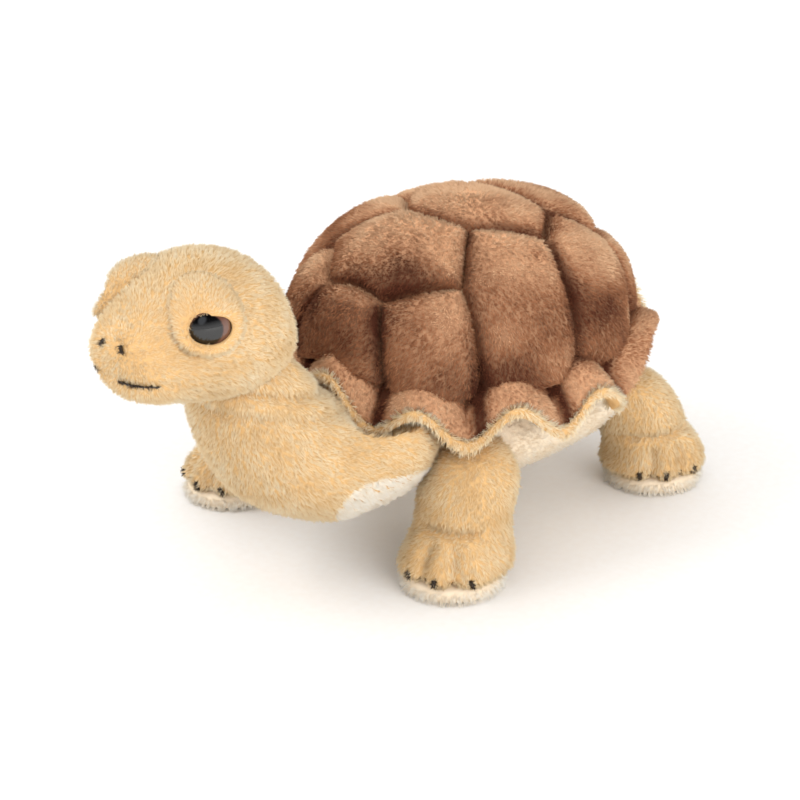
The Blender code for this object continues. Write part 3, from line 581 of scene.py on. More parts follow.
def hoop(sections: Array) -> Skin:
    """Close a grid both ways into a ring-shaped skin.

    Args:
        sections: sections round the hoop x points round each section x 3 places.

    Returns:
        The skin.
    """
    rows, columns = sections.shape[:2]
    row, column = np.meshgrid(np.arange(rows), np.arange(columns), indexing="ij")
    ahead, after = (row + 1) % rows, (column + 1) % columns
    corners = (row * columns + column, row * columns + after, ahead * columns + after, ahead * columns + column)
    a, b, c, d = (part.ravel() for part in corners)
    triangles = np.vstack((np.stack((a, b, c), 1), np.stack((a, c, d), 1)))
    return Skin(sections.reshape(-1, 3), triangles).facing_out()


def spline_rows(control: Array, steps: int) -> Array:
    """Carry rows of values along an even cubic B-spline.

    With t from one row to the next, the four nearest rows weigh (1-t)³/6, (3t³-6t²+4)/6,
    (-3t³+3t²+3t+1)/6 and t³/6.

    Args:
        control: the rows, with one spare row beyond each end.
        steps: how many rows to make.

    Returns:
        The rows along the curve.
    """
    place = np.linspace(0.0, len(control) - 3.0, steps)
    base = np.minimum(place.astype(int), len(control) - 4)
    t = (place - base).reshape((-1,) + (1,) * (control.ndim - 1))
    weights = ((1 - t) ** 3, 3 * t ** 3 - 6 * t ** 2 + 4, -3 * t ** 3 + 3 * t ** 2 + 3 * t + 1, t ** 3)
    return sum(weight / 6 * control[base + offset] for offset, weight in enumerate(weights))


def loft(centres: Array, sides: Array, ups: Array, rows: int, columns: int) -> Skin:
    """A stuffed form carried along a path.

    At turn u and place v it is centre(v) + side(v) cos u + up(v) sin u, where centre, side and up run
    on B-splines. At each end the reach goes to nothing in the end's own plane, so the end is a soft cap.

    Args:
        centres: middle of each section.
        sides: sideways reach of each section.
        ups: upward reach of each section.
        rows: steps along.
        columns: steps round.

    Returns:
        The closed skin.
    """
    middle = np.vstack((centres[:1], centres[:1], centres, centres[-1:], centres[-1:]))
    none = np.zeros((1, 3))
    reach = [np.vstack((-part[:1], none, part, none, -part[-1:])) for part in (sides, ups)]
    middle, side, up = (spline_rows(part, rows)[:, None, :] for part in (middle, *reach))
    turn = np.linspace(0.0, math.tau, columns, endpoint=False)[None, :, None]
    return tube(middle + side * np.cos(turn) + up * np.sin(turn))


def mesh_object(
    name: str, points: Array, triangles: Array, material: bpy.types.Material
) -> bpy.types.Object:
    """Make a smooth object of triangles.

    Args:
        name: the object's name.
        points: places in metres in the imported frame.
        triangles: three point numbers a row.
        material: its material.

    Returns:
        The object, at the origin.
    """
    mesh = bpy.data.meshes.new(name)
    mesh.vertices.add(len(points))
    mesh.vertices.foreach_set("co", points.astype(np.float32).ravel())
    mesh.loops.add(triangles.size)
    mesh.loops.foreach_set("vertex_index", triangles.astype(np.int32).ravel())
    mesh.polygons.add(len(triangles))
    mesh.polygons.foreach_set("loop_start", np.arange(0, triangles.size, 3, dtype=np.int32))
    mesh.polygons.foreach_set("use_smooth", np.ones(len(triangles), bool))
    mesh.update(calc_edges=True)
    mesh.validate()
    mesh.materials.append(material)
    made = bpy.data.objects.new(name, mesh)
    bpy.context.scene.collection.objects.link(made)
    return made


# Pile


@dataclass
class Pile:
    """Brushed pile: fine tapered strands that lean along the nap and draw together in tufts.

    Sizes are in millimetres, leans in degrees and turns in radians.
    """

    length: float = 2.0
    spacing: float = 0.42
    width: float = 0.3
    lean: float = 55.0
    tuft: float = 1.3
    gather: float = 0.45
    stray: float = 0.25
    sink: float = 0.5
    floor: float = 0.25
    contrast: float = 1.0
    roundness: float = 0.45
    seed: int = 1
    tuft_turn: float = 0.36
    tuft_lean: float = 8.0
    strand_lean: float = 7.0
    lean_range: Pair = (10.0, 82.0)
    tuft_contrast: float = 0.24
    strand_contrast: float = 0.3
    patch_contrast: float = 0.7
    skin_share: float = 0.75

    def roots(self, skin: Skin, rng: np.random.Generator) -> tuple[Array, Array]:
        """Scatter strand roots evenly over a skin, a random place in each small triangle.

        Args:
            skin: the skin.
            rng: the source of random numbers.

        Returns:
            Each root's three skin points, and their weights.
        """
        corners = skin.points[skin.triangles]
        first, second = corners[:, 1] - corners[:, 0], corners[:, 2] - corners[:, 0]
        area = np.linalg.norm(np.cross(first, second), axis=1) / 2
        count = np.floor(area / self.spacing ** 2 + rng.random(len(area))).astype(int)
        chosen = np.repeat(np.arange(len(area)), count)
        share = rng.random((len(chosen), 2))
        folded = share.sum(1) > 1
        share[folded] = 1 - share[folded]
        return skin.triangles[chosen], np.column_stack((1 - share.sum(1), share))

    def tips(
        self, roots: Array, outward: Array, nap: Array, share: Array, rng: np.random.Generator
    ) -> tuple[Array, Array]:
        """Work out where each strand ends.

        A strand runs by n cos a + g sin a, with n the normal, g the nap and a the lean. Strands of one
        warped cell share a tuft: they lean alike, and their tips are drawn towards the tuft's mean tip.

        Args:
            roots: where the strands stand.
            outward: the skin's normals there.
            nap: the way that the pile is brushed.
            share: each strand's length as a share of the pile's.
            rng: the source of random numbers.

        Returns:
            The tips, and each strand's tuft tone from 0 to 1.
        """
        seeds = (self.seed * 7 + axis for axis in range(3))
        warp = np.column_stack([lattice_noise(roots, self.tuft * 2.5, seed) for seed in seeds])
        cells = np.floor((roots + warp * self.tuft * 1.6) / self.tuft).astype(np.int64)
        keys = (cells[:, 0] * 4096 + cells[:, 1]) * 4096 + cells[:, 2]
        _, tuft = np.unique(keys, return_inverse=True)
        tufts = int(tuft.max()) + 1
        own_turn = rng.normal(0.0, self.tuft_turn, tufts)[tuft] + rng.normal(0.0, self.stray, len(roots))
        own_lean = rng.normal(0.0, self.tuft_lean, tufts)[tuft] + rng.normal(0.0, self.strand_lean, len(roots))
        length = self.length * share * rng.normal(1.0, 0.08, tufts)[tuft] * rng.uniform(0.8, 1.1, len(roots))
        along = unit(nap - outward * (nap * outward).sum(1, keepdims=True))
        across = np.cross(outward, along)
        turned = along * np.cos(own_turn)[:, None] + across * np.sin(own_turn)[:, None]
        angle = np.radians(np.clip(self.lean + own_lean, *self.lean_range))[:, None]
        tip = roots + (outward * np.cos(angle) + turned * np.sin(angle)) * length[:, None]
        members = np.bincount(tuft, minlength=tufts)
        mean = np.column_stack([np.bincount(tuft, weights=tip[:, axis], minlength=tufts) for axis in range(3)])
        tip += (mean[tuft] / members[tuft, None] - tip) * self.gather
        return tip, rng.random(tufts)[tuft]

    def spikes(
        self, base: Array, tip: Array, outward: Array, rng: np.random.Generator
    ) -> tuple[Array, Array]:
        """Shape each strand as a three-sided spike: a ring of three at its root and one point at its tip.

        The ring lies square to the strand, at the corners of an even triangle. The shading normals lean
        to the skin's, so that the pile is lit as one soft surface.

        Args:
            base: where the strands start.
            tip: where they end.
            outward: the skin's normals at their roots.
            rng: the source of random numbers.

        Returns:
            Four points for each strand, and the shading normals there.
        """
        axis = unit(tip - base)
        helper = unit(np.cross(axis, unit(rng.normal(size=axis.shape))))
        other = np.cross(axis, helper)
        spin = np.arange(3) * math.tau / 3
        ring = helper[:, None] * np.cos(spin)[None, :, None] + other[:, None] * np.sin(spin)[None, :, None]
        half = self.width / 2 * rng.uniform(0.8, 1.2, len(axis))[:, None, None]
        points = np.concatenate((base[:, None] + ring * half, tip[:, None]), 1)
        own = np.concatenate((ring, axis[:, None]), 1)
        return points, unit(outward[:, None] * self.skin_share + own * self.roundness)

    def grow(
        self, name: str, skin: Skin, finish: PlushFinish, layout: Layout, nap: Field,
        length: Field | None = None, tone: Field | None = None, keep: Field | None = None,
    ) -> list[bpy.types.Object]:
        """Grow the pile of one skin. The fields are worked out at the skin's points and blended to the roots.

        Args:
            name: the piece's name.
            skin: the skin that it grows on.
            finish: the plush.
            layout: the toy's layout.
            nap: the brushed direction at places and normals.
            length: how long the strands are, as a share of the pile's length.
            tone: what to add to the tuft's tone, which goes from 0 dark to 1 pale.
            keep: where the pile grows.

        Returns:
            The pile's objects, none of more strands than the most that one may have.
        """
        rng = np.random.default_rng(self.seed)
        corners, weights = self.roots(skin, rng)
        normals = skin.normals()

        def carried(values: Array) -> Array:
            """Blend values at the skin's points to the strands' roots."""
            if values.ndim == 1:
                return (values[corners] * weights).sum(1)
            return np.einsum("ik,ikj->ij", weights, values[corners])

        if keep is not None:
            kept = carried(keep(skin.points, normals).astype(float)) > 0.5
            corners, weights = corners[kept], weights[kept]
        roots, outward = carried(skin.points), unit(carried(normals))
        share = np.ones(len(roots)) if length is None else carried(length(skin.points, normals))
        tip, tuft_tone = self.tips(roots, outward, carried(nap(skin.points, normals)), share, rng)
        tip[:, 2] = np.maximum(tip[:, 2], self.floor)
        base = roots - outward * self.sink
        strand_tone = rng.random(len(roots))
        patch_tone = lattice_noise(roots, finish.mottle, self.seed + 50)
        own = 0.5 + (
            self.tuft_contrast * (tuft_tone - 0.5) + self.strand_contrast * (strand_tone - 0.5)) * self.contrast
        shade = own + self.patch_contrast * (patch_tone - 0.5) * self.contrast
        if tone is not None:
            shade = shade + carried(tone(skin.points, normals))
        shade = np.clip(shade, 0.02, 0.98)
        points, facing = self.spikes(base, tip, outward, rng)
        material = finish.pile(name)
        parts = max(1, math.ceil(len(roots) / MOST_STRANDS))
        order = np.argsort(roots[:, 0], kind="stable")
        made = []
        for number, chosen in enumerate(np.array_split(order, parts), 1):
            triangles = (np.arange(len(chosen))[:, None, None] * 4 + SPIKE_FACES).reshape(-1, 3)
            places = layout.to_row(points[chosen].reshape(-1, 3))
            piece = mesh_object(f"{name}_{number}", places, triangles, material)
            strand_map = piece.data.uv_layers.new(name=PILE_MAP)
            across = np.repeat(shade[chosen], SPIKE_FACES.size)
            upward = np.tile(SPIKE_ALONG[SPIKE_FACES.ravel()], len(chosen))
            strand_map.uv.foreach_set("vector", np.column_stack((across, upward)).astype(np.float32).ravel())
            piece.data.normals_split_custom_set_from_vertices(facing[chosen].reshape(-1, 3).astype(np.float32))
            made.append(piece)
        LOG.info("%s: %d strands in %d pieces", name, len(roots), parts)
        return made


def padded_skin(
    name: str, skin: Skin, finish: PlushFinish, layout: Layout, replaced: tuple[str, ...],
    tone: Field | None = None,
) -> bpy.types.Object:
    """Make the stuffed cloth of one piece.

    Args:
        name: the piece's name.
        skin: its shape.
        finish: its plush.
        layout: the toy's layout.
        replaced: the CAD nodes that it stands for.
        tone: how much darker or paler than its middle tone the pile over it is.

    Returns:
        The object.
    """
    made = mesh_object(name, layout.to_row(skin.points), skin.triangles, finish.cloth(name))
    shade = np.full(len(skin.points), 0.5)
    if tone is not None:
        shade = np.clip(shade + tone(skin.points, skin.normals()), 0.0, 1.0)
    made.data.attributes.new(TONE, "FLOAT", "POINT").data.foreach_set("value", shade.astype(np.float32))
    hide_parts(*replaced)
    LOG.info("%s: %d triangles", name, len(skin.triangles))
    return made


def outside(others: list[Skin], depth: float) -> Field:
    """Keep what lies no deeper than so far under any of the other skins.

    Args:
        others: the other skins.
        depth: how deep, in millimetres.

    Returns:
        The test, as a field that is true where roots are kept.
    """
    def test(roots: Array, outward: Array) -> Array:
        """Test one set of roots."""
        kept = np.ones(len(roots), bool)
        for other in others:
            kept &= other.depth_of(roots) < depth
        return kept
    return test


def brushed(*direction: float) -> Field:
    """A nap that runs one way everywhere."""
    return lambda roots, outward: np.broadcast_to(np.array(direction, float), roots.shape)


def even(value: float) -> Field:
    """The same value everywhere."""
    return lambda roots, outward: np.full(len(roots), value)


def carry(body: str, pieces: list[bpy.types.Object]) -> None:
    """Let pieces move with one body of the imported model."""
    for piece in pieces:
        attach(piece, body)


# Shell


@dataclass
class QuiltedShell:
    """The domed cover: one brown cloth, quilted along its seams to the pad inside.

    The corners of the scutes are flattened places, to the left and back, where the rim is the unit
    circle. Filling is the cell, height and seed of the swell of its stuffing, here and below. The hem
    pairs a share of the rim's reach with how far the cloth has dropped there. Shades and tone are shares
    of the way from the pile's darkest colour to its palest. The seam and low shades and the shadow patch
    in front are painted shade, and the pale side is painted light.
    """

    layout: Layout
    width: float = 98.0
    length: float = 113.0
    rise: float = 39.5
    base: float = 58.0
    setback: float = -3.0
    front_lift: float = 8.0
    lift_spread: float = 20.0
    squareness: float = 2.3
    seam_inset: float = 3.2
    pillow: float = 4.6
    pillow_width: float = 12.0
    crease: float = 2.4
    crease_width: float = 1.0
    front_bulge: float = 3.6
    pile_depth: float = 0.8
    filling: tuple[float, float, int] = (11.0, 0.5, 3)
    turns: int = 470
    rings: int = 138
    hem: tuple[Pair, ...] = ((1.0, 0.8), (0.998, 1.6), (0.99, 2.3), (0.97, 2.9), (0.93, 3.1))
    floor_sink: float = 1.5
    caught_share: float = 0.45
    caught_width: float = 2.4
    tone: float = 0.07
    seam_shades: tuple[Pair, ...] = ((0.85, 1.6), (0.3, 5.0))
    low_shade: float = 0.22
    low_from: float = 52.0
    low_span: float = 34.0
    pale_side: Triple = (-0.1, 0.7, 0.8)
    pale_from: float = 0.35
    pale_gain: float = 0.7
    mottle: float = 0.6
    mottle_size: float = 15.0
    patch_at: Triple = (5.0, -41.0, 89.0)
    patch_shade: float = 0.3
    patch_spread: float = 200.0
    corners: dict[str, Pair] = field(default_factory=lambda: {
        "nape": (0.167, -0.640), "nape_rim": (0.350, -0.935), "shoulder_bend": (0.273, -0.470),
        "shoulder_top": (0.371, -0.369), "shoulder_side": (0.509, -0.439), "shoulder_rim": (0.790, -0.611),
        "crown_front": (0.140, -0.120), "crown_side": (0.361, 0.053), "crown_rear": (0.218, 0.196),
        "flank_bend": (0.525, 0.009), "flank_low": (0.669, -0.020), "flank_rim": (0.996, -0.075),
        "back_side": (0.410, 0.400), "hip_rim": (0.850, 0.527), "tail_top": (0.190, 0.620),
        "tail_rim": (0.330, 0.944),
    })
    side_seams: tuple[tuple[str, ...], ...] = (
        ("nape_rim", "nape", "shoulder_bend", "shoulder_top", "shoulder_side", "shoulder_rim"),
        ("shoulder_top", "crown_front", "crown_side", "flank_bend", "flank_low", "flank_rim"),
        ("crown_side", "crown_rear", "back_side", "hip_rim"),
        ("back_side", "tail_top", "tail_rim"),
    )
    cross_seams: tuple[str, ...] = ("nape", "crown_front", "crown_rear", "tail_top")

    def lift(self, angle: Array) -> Array:
        """How far the rim is raised over the neck: 8 mm x exp(-(angle / 20 degrees)²)."""
        return self.front_lift * np.exp(-(np.degrees(wrapped(angle)) / self.lift_spread) ** 2)

    def dome(self, left: Array, back: Array, inset: Array | float) -> Array:
        """Places on the dome, from their flattened ones, where the rim is the unit circle.

        The dome is a squarish half oval: with s the flattened reach as a quarter turn, it goes out by
        sin(s) and up by cos(s), each to the power 2 / 2.3. Low down in front it bulges over the neck.

        Args:
            left: flattened places to the toy's left.
            back: flattened places to its rear.
            inset: how far inside the full dome.

        Returns:
            The places.
        """
        reach = np.minimum(np.hypot(left, back), 1.0)
        angle = np.arctan2(left, -back)
        out = np.sin(reach * math.pi / 2) ** (2 / self.squareness)
        rise = np.maximum(np.cos(reach * math.pi / 2), 0.0) ** (2 / self.squareness)
        ahead = self.front_bulge * np.maximum(np.cos(angle), 0.0) ** 1.5 * out ** 4
        return np.stack((
            (self.width / 2 - inset) * out * np.sin(angle),
            self.setback - (self.length / 2 - inset) * out * np.cos(angle) - ahead,
            self.base + self.lift(angle) * out ** 4 + (self.rise - inset) * rise,
        ), -1)

    def seam_places(self) -> Array:
        """Places all along the sewn seams and the rim, close enough together to measure from."""
        share = np.linspace(0.0, 1.0, 34)[:, None]
        lines = []
        for sign in (1.0, -1.0):
            for names in self.side_seams:
                knots = np.array([self.corners[name] for name in names]) * (sign, 1.0)
                for start, end in zip(knots[:-1], knots[1:]):
                    lines.append(start + (end - start) * share)
        for name in self.cross_seams:
            start = np.array(self.corners[name])
            lines.append(start * (1.0 - 2.0 * share * (1.0, 0.0)))
        flat = np.vstack(lines)
        return self.dome(flat[:, 0], flat[:, 1], self.seam_inset)

    def seam_distance(self, places: Array) -> Array:
        """How far each place is from the nearest seam between scutes."""
        return nearest(places, self.seam_places())[1]

    def inset(self, places: Array) -> Array:
        """How far inside the full dome the cover lies.

        With d the distance to the nearest seam, the cloth lies 4.6 (1 - (1 - (1 - d/12)²)^0.5) mm in,
        a round pillow, 2.4 exp(-d^1.5) mm more where the seam creases it, and the pile's own 0.8 mm.

        Args:
            places: places on the dome.

        Returns:
            The insets.
        """
        gap = self.seam_distance(places)
        edge = 1.0 - np.minimum(gap / self.pillow_width, 1.0)
        pillow = self.pillow * (1.0 - np.sqrt(1.0 - edge ** 2))
        return pillow + self.crease * np.exp(-(gap / self.crease_width) ** 1.5) + self.pile_depth

    def cover(self) -> Skin:
        """The quilted cover, closed underneath.

        Returns:
            The skin.
        """
        turn = np.linspace(0.0, math.tau, self.turns, endpoint=False)[None, :]
        reach = np.linspace(0.0, 1.0, self.rings)[1:, None]
        left, back = reach * np.sin(turn), -reach * np.cos(turn)
        places = self.dome(left, back, self.seam_inset).reshape(-1, 3)
        top = self.dome(left, back, self.inset(places).reshape(left.shape))
        middle = np.zeros(1)
        crown = np.broadcast_to(
            self.dome(middle, middle, self.inset(self.dome(middle, middle, 0.0))), (1, self.turns, 3))
        centre = np.array((0.0, self.setback, 0.0))
        under = []
        for share, drop in self.hem:
            out = (top[-1:] - centre) * share + centre
            under.append(np.concatenate((out[..., :2], top[-1:, :, 2:] - drop), -1))
        floor = np.broadcast_to(
            np.array((0.0, self.setback, self.base - self.floor_sink)), (1, self.turns, 3))
        return tube(np.concatenate((crown, top, *under, floor)))

    def nap(self, roots: Array, outward: Array) -> Array:
        """The pile is brushed outwards and down from the crown, with a slow swirl."""
        swirl = (lattice_noise(roots, 26.0, 71) - 0.5) * 1.6
        away = unit(roots * (1.0, 1.0, 0.0) - (0.0, self.setback + 4.0, 14.0))
        turned = np.column_stack((-away[:, 1], away[:, 0], np.zeros(len(roots))))
        return away + turned * swirl[:, None]

    def length_share(self, roots: Array, outward: Array) -> Array:
        """The pile is shorter where it is caught in a seam."""
        free = smooth(self.seam_distance(roots) / self.caught_width)
        return self.caught_share + (1.0 - self.caught_share) * free

    def shading(self, roots: Array, outward: Array) -> Array:
        """How much paler or darker than the middle tone the cover and its pile are.

        They carry painted shade in the seams, low down and in a patch in front, and painted light where they
        face up and back. They are also uneven in patches of about 15 mm.

        Args:
            roots: places on the cover.
            outward: its normals there.

        Returns:
            The change of tone, darker below nothing.
        """
        # Painted shade in the seams and low down, a painted shadow patch in front, and painted light where the
        # cover faces up and back.
        gap = self.seam_distance(roots)
        lit = np.maximum(outward @ np.array(self.pale_side) - self.pale_from, -0.2)
        patches = lattice_noise(roots, self.mottle_size, 72) - 0.5
        seam = sum(shade * (1.0 - smooth(gap / reach)) for shade, reach in self.seam_shades)
        low = self.low_shade * (1.0 - smooth((roots[:, 2] - self.low_from) / self.low_span))
        off = ((roots - np.array(self.patch_at)) ** 2).sum(axis=-1)
        front = self.patch_shade * np.exp(-off / self.patch_spread)
        return self.tone - seam - low - front + self.pale_gain * lit + self.mottle * patches

    def on_top(self, roots: Array, outward: Array) -> Array:
        """Nothing grows underneath."""
        return outward[:, 2] > -0.5

    def dress(self) -> None:
        """Make the cover and its pile."""
        skin = self.cover().lumpy(*self.filling)
        nodes = sorted(name for name in bpy.data.objects.keys() if name.startswith("scute_"))
        pile = Pile(
            length=1.75, spacing=0.4, width=0.38, lean=63.0, tuft=0.95, gather=0.36, contrast=0.85, seed=11)
        carry("trunk", [
            padded_skin("shell_cover", skin, BROWN, self.layout, ("shell_core", *nodes), self.shading),
            *pile.grow(
                "shell_pile", skin, BROWN, self.layout, self.nap, self.length_share, self.shading, self.on_top),
        ])


@dataclass
class RuffledBrim:
    """The ruffled brim: a brown plush band on top, and a tan lining whose folded edge shows round it.

    Wave turns pair an angle from straight ahead with the angle that the even waves have there. The bead
    is the lining's edge. It, the lining under it and the band's turned edge pair distances beyond the
    sewn rim with heights over the brim's surface.
    """

    shell: QuiltedShell
    inset: float = 5.5
    foot: float = 3.0
    width: float = 11.0
    edge: float = 2.3
    drop: float = 6.0
    wave: float = 4.2
    flare: float = 1.5
    rear_lift: float = 4.5
    lift_from: float = 99.0
    lift_to: float = 130.0
    fold: float = 3.5
    fold_at: float = 92.5
    waves: int = 13
    low_at: float = 18.0
    wave_turns: tuple[Pair, ...] = (
        (-180.0, -180.0), (73.4, 73.4), (97.0, 101.1), (124.0, 115.0), (150.0, 129.5), (180.0, 152.3))
    lobe_rise: float = 6.4
    lobe_sink: float = 2.2
    lobe_round: float = 0.6
    lobe_start: float = 0.15
    band_out: float = 10.4
    band_edge: float = 10.9
    band_sink: float = 0.9
    band_turned: tuple[Pair, ...] = ((10.9, -1.7), (10.6, -2.6), (5.0, -3.0))
    band_rows: int = 18
    bead: tuple[Pair, ...] = (
        (10.8, -2.6), (11.1, -2.0), (11.6, -1.7), (12.1, -1.9), (12.4, -2.5), (12.5, -3.2), (12.2, -4.0),
        (11.7, -4.6))
    lining_sink: float = 3.2
    lining_thickness: float = 2.4
    lining_over: tuple[float, ...] = (2.0, 5.0, 8.0, 10.0)
    lining_under: tuple[Pair, ...] = ((11.0, -5.2), (8.0, -5.2), (5.0, -5.2), (2.0, -5.2))
    tuck: float = 0.06
    tuck_turns: Pair = (96.0, 158.0)
    tuck_from: float = 44.0
    filling: tuple[float, float, int] = (7.0, 0.35, 5)
    pile_start: float = -2.0
    inner_share: float = 0.55
    steps: int = 480

    def half(self) -> Pair:
        """Half of the sewn rim's width, and of its length."""
        return self.shell.width / 2 - self.inset, self.shell.length / 2 - self.inset

    def inner(self) -> float:
        """Where the lining's flat middle begins, as a negative distance beyond the sewn rim."""
        return -self.inner_share * self.half()[0]

    def turns(self) -> Array:
        """The angles of the brim's columns, in one row."""
        return np.linspace(0.0, math.tau, self.steps, endpoint=False)[None, :]

    def phase(self, angle: Array) -> Array:
        """Which part of a wave lies at an angle from straight ahead.

        The waves run evenly, but for the left hip, where one is short and the next is long.

        Args:
            angle: the angle.

        Returns:
            The phase, 0 in a wave's trough.
        """
        at, even_turn = np.array(self.wave_turns).T
        return self.waves * np.radians(np.interp(np.degrees(wrapped(angle)), at, even_turn) - self.low_at)

    def height(self, angle: Array, beyond: Array) -> Array:
        """How high the brim stands over the shell's floor.

        With s the share of its width, it droops by 6s + 4.2 s^1.5, ruffles by 4.2 s^1.5 (1 - cos of
        the wave's phase), and rises at the rear.

        Args:
            angle: angle from straight ahead.
            beyond: distance beyond the sewn rim.

        Returns:
            The heights.
        """
        share = np.clip(beyond / self.width, 0.0, 1.3)
        ruffle = self.wave - self.wave * np.cos(self.phase(angle))
        around = np.degrees(np.abs(wrapped(angle)))
        along = np.clip((around - self.lift_from) / (self.lift_to - self.lift_from), 0.0, 1.0)
        rear = self.rear_lift * (1.0 - np.cos(math.pi * along)) / 2
        return -self.wave * share ** self.flare - self.drop * share + share ** self.flare * (ruffle + rear)

    def place(self, angle: Array, beyond: Array, above: Array) -> Array:
        """Places on the brim: out from the rim's oval by so far, at the brim's height plus above.

        Args:
            angle: angle from straight ahead.
            beyond: distance beyond the sewn rim.
            above: height over the brim's own surface.

        Returns:
            The places.
        """
        half_width, half_length = self.half()
        share = np.clip((beyond - self.inner()) / (-self.foot - self.inner()), 0.0, 1.0)
        up = self.shell.base + self.shell.lift(angle) * share + self.height(angle, beyond) + above
        aside = np.degrees(wrapped(angle)) - self.fold_at
        out = np.clip(beyond / self.width, 0.0, 1.2) ** 2
        beyond = beyond - self.fold * out * np.tanh(aside / 2.5) * np.exp(-(aside / 7.0) ** 2)
        return np.stack((
            (half_width + beyond) * np.sin(angle),
            self.shell.setback - (half_length + beyond) * np.cos(angle),
            up,
        ), -1)

    def band(self, profile: list[Pair]) -> Array:
        """Carry a profile of (beyond, above) points round the rim, one row for each point."""
        beyond, above = np.array(profile).T[:, :, None]
        return self.place(self.turns(), beyond, above)

    def top(self) -> Skin:
        """The brown band: a row of soft lobes from under the scutes to the lining's edge, creased between.

        With s the share of the way out, a lobe rises by |sin(phase / 2)|^0.6 x sin(pi (0.15 + 0.85 s))^0.6.
        """
        out = np.linspace(-self.foot, self.band_out, self.band_rows)
        back = [*self.band_turned, (-self.foot, self.band_turned[-1][1])]
        grid = self.band([(beyond, -self.band_sink) for beyond in out] + back)
        across = np.clip(out[:, None] / self.band_edge, 0.0, 1.0)
        lobe = np.abs(np.sin(self.phase(self.turns()) / 2.0)) ** self.lobe_round
        roll = np.sin(math.pi * (self.lobe_start + (1.0 - self.lobe_start) * across)) ** self.lobe_round
        grid[:len(out), :, 2] += roll * (self.lobe_rise * lobe - self.lobe_sink)
        return hoop(grid)

    def lining(self) -> Skin:
        """The lining: flat in the middle, with a soft bead at its edge, and drawn in at the left hip."""
        centre = np.broadcast_to(
            np.array((0.0, self.shell.setback, self.shell.base - self.lining_sink)), (1, self.steps, 3))
        below = centre - np.array((0.0, 0.0, self.lining_thickness))
        over = [(beyond, -self.lining_sink) for beyond in (self.inner(), -self.foot, *self.lining_over)]
        under = [*self.lining_under, (-self.foot, -5.4), (self.inner(), -5.6)]
        hem = self.band(over + list(self.bead) + under)
        off = hem[..., :2] - centre[..., :2]
        turn = np.degrees(np.arctan2(off[..., 0], -off[..., 1]))
        tucked = self.tuck * smooth((turn - self.tuck_turns[0]) / 10.0)
        tucked = tucked * smooth((self.tuck_turns[1] - turn) / 12.0)
        tucked = tucked * smooth((np.hypot(off[..., 0], off[..., 1]) - self.tuck_from) / 10.0)
        hem[..., :2] -= off * tucked[..., None]
        return tube(np.concatenate((centre, hem, below)))

    def turn_of(self, places: Array) -> Array:
        """Angles of places from straight ahead."""
        return np.arctan2(places[:, 0], -(places[:, 1] - self.shell.setback))

    def reach_of(self, places: Array) -> Array:
        """Distances of places beyond the sewn rim, by the rim's oval."""
        half_width, half_length = self.half()
        oval = np.hypot(places[:, 0] / half_width, (places[:, 1] - self.shell.setback) / half_length)
        return (oval - 1.0) * (self.shell.width + self.shell.length) / 4

    def away(self, roots: Array, outward: Array) -> Array:
        """The pile is brushed outwards across the brim, and a little down."""
        flat = np.column_stack((roots[:, 0], roots[:, 1] - self.shell.setback, np.zeros(len(roots))))
        return unit(flat) + np.array((0.0, 0.0, -0.35))

    def shading(self, roots: Array, outward: Array) -> Array:
        """Painted shade, darker towards the scutes where the brim turns under them, and in the creases between
        lobes.
        """
        crease = np.exp(-(np.sin(self.phase(self.turn_of(roots)) / 2.0) / 0.26) ** 2)
        return 0.24 - 0.5 * (1.0 - smooth((self.reach_of(roots) - 4.0) / 3.0)) - 0.85 * crease

    def band_keep(self, roots: Array, outward: Array) -> Array:
        """Nothing grows under the scutes or underneath."""
        return (self.reach_of(roots) > self.pile_start) & (outward[:, 2] > -0.45)

    def edge_keep(self, roots: Array, outward: Array) -> Array:
        """The lining's pile shows on its bead's outer side, and underneath."""
        reach = self.reach_of(roots)
        bead = (reach > 11.0) & (outward[:, 2] > -0.3)
        return bead | ((reach > 1.0) & (reach < 9.0) & (outward[:, 2] < -0.3))

    def dress(self) -> None:
        """Make both layers and their pile."""
        layout, lining = self.shell.layout, self.lining()
        top = self.top().lumpy(*self.filling)
        brown = Pile(length=1.65, spacing=0.4, width=0.36, lean=60.0, tuft=1.0, contrast=0.8, seed=12)
        tan = Pile(length=2.8, spacing=0.4, width=0.32, lean=54.0, tuft=1.1, stray=0.4, roundness=1.2, seed=13)
        carry("trunk", [
            padded_skin("brim_cover", top, BROWN, layout, ("brim_top",), self.shading),
            *brown.grow("brim_pile", top, BROWN, layout, self.away, None, self.shading, self.band_keep),
            padded_skin("brim_lining_cloth", lining, TAN, layout, ("brim_lining",)),
            *tan.grow("brim_edge_pile", lining, TAN, layout, self.away, tone=even(0.4), keep=self.edge_keep),
        ])


# Body


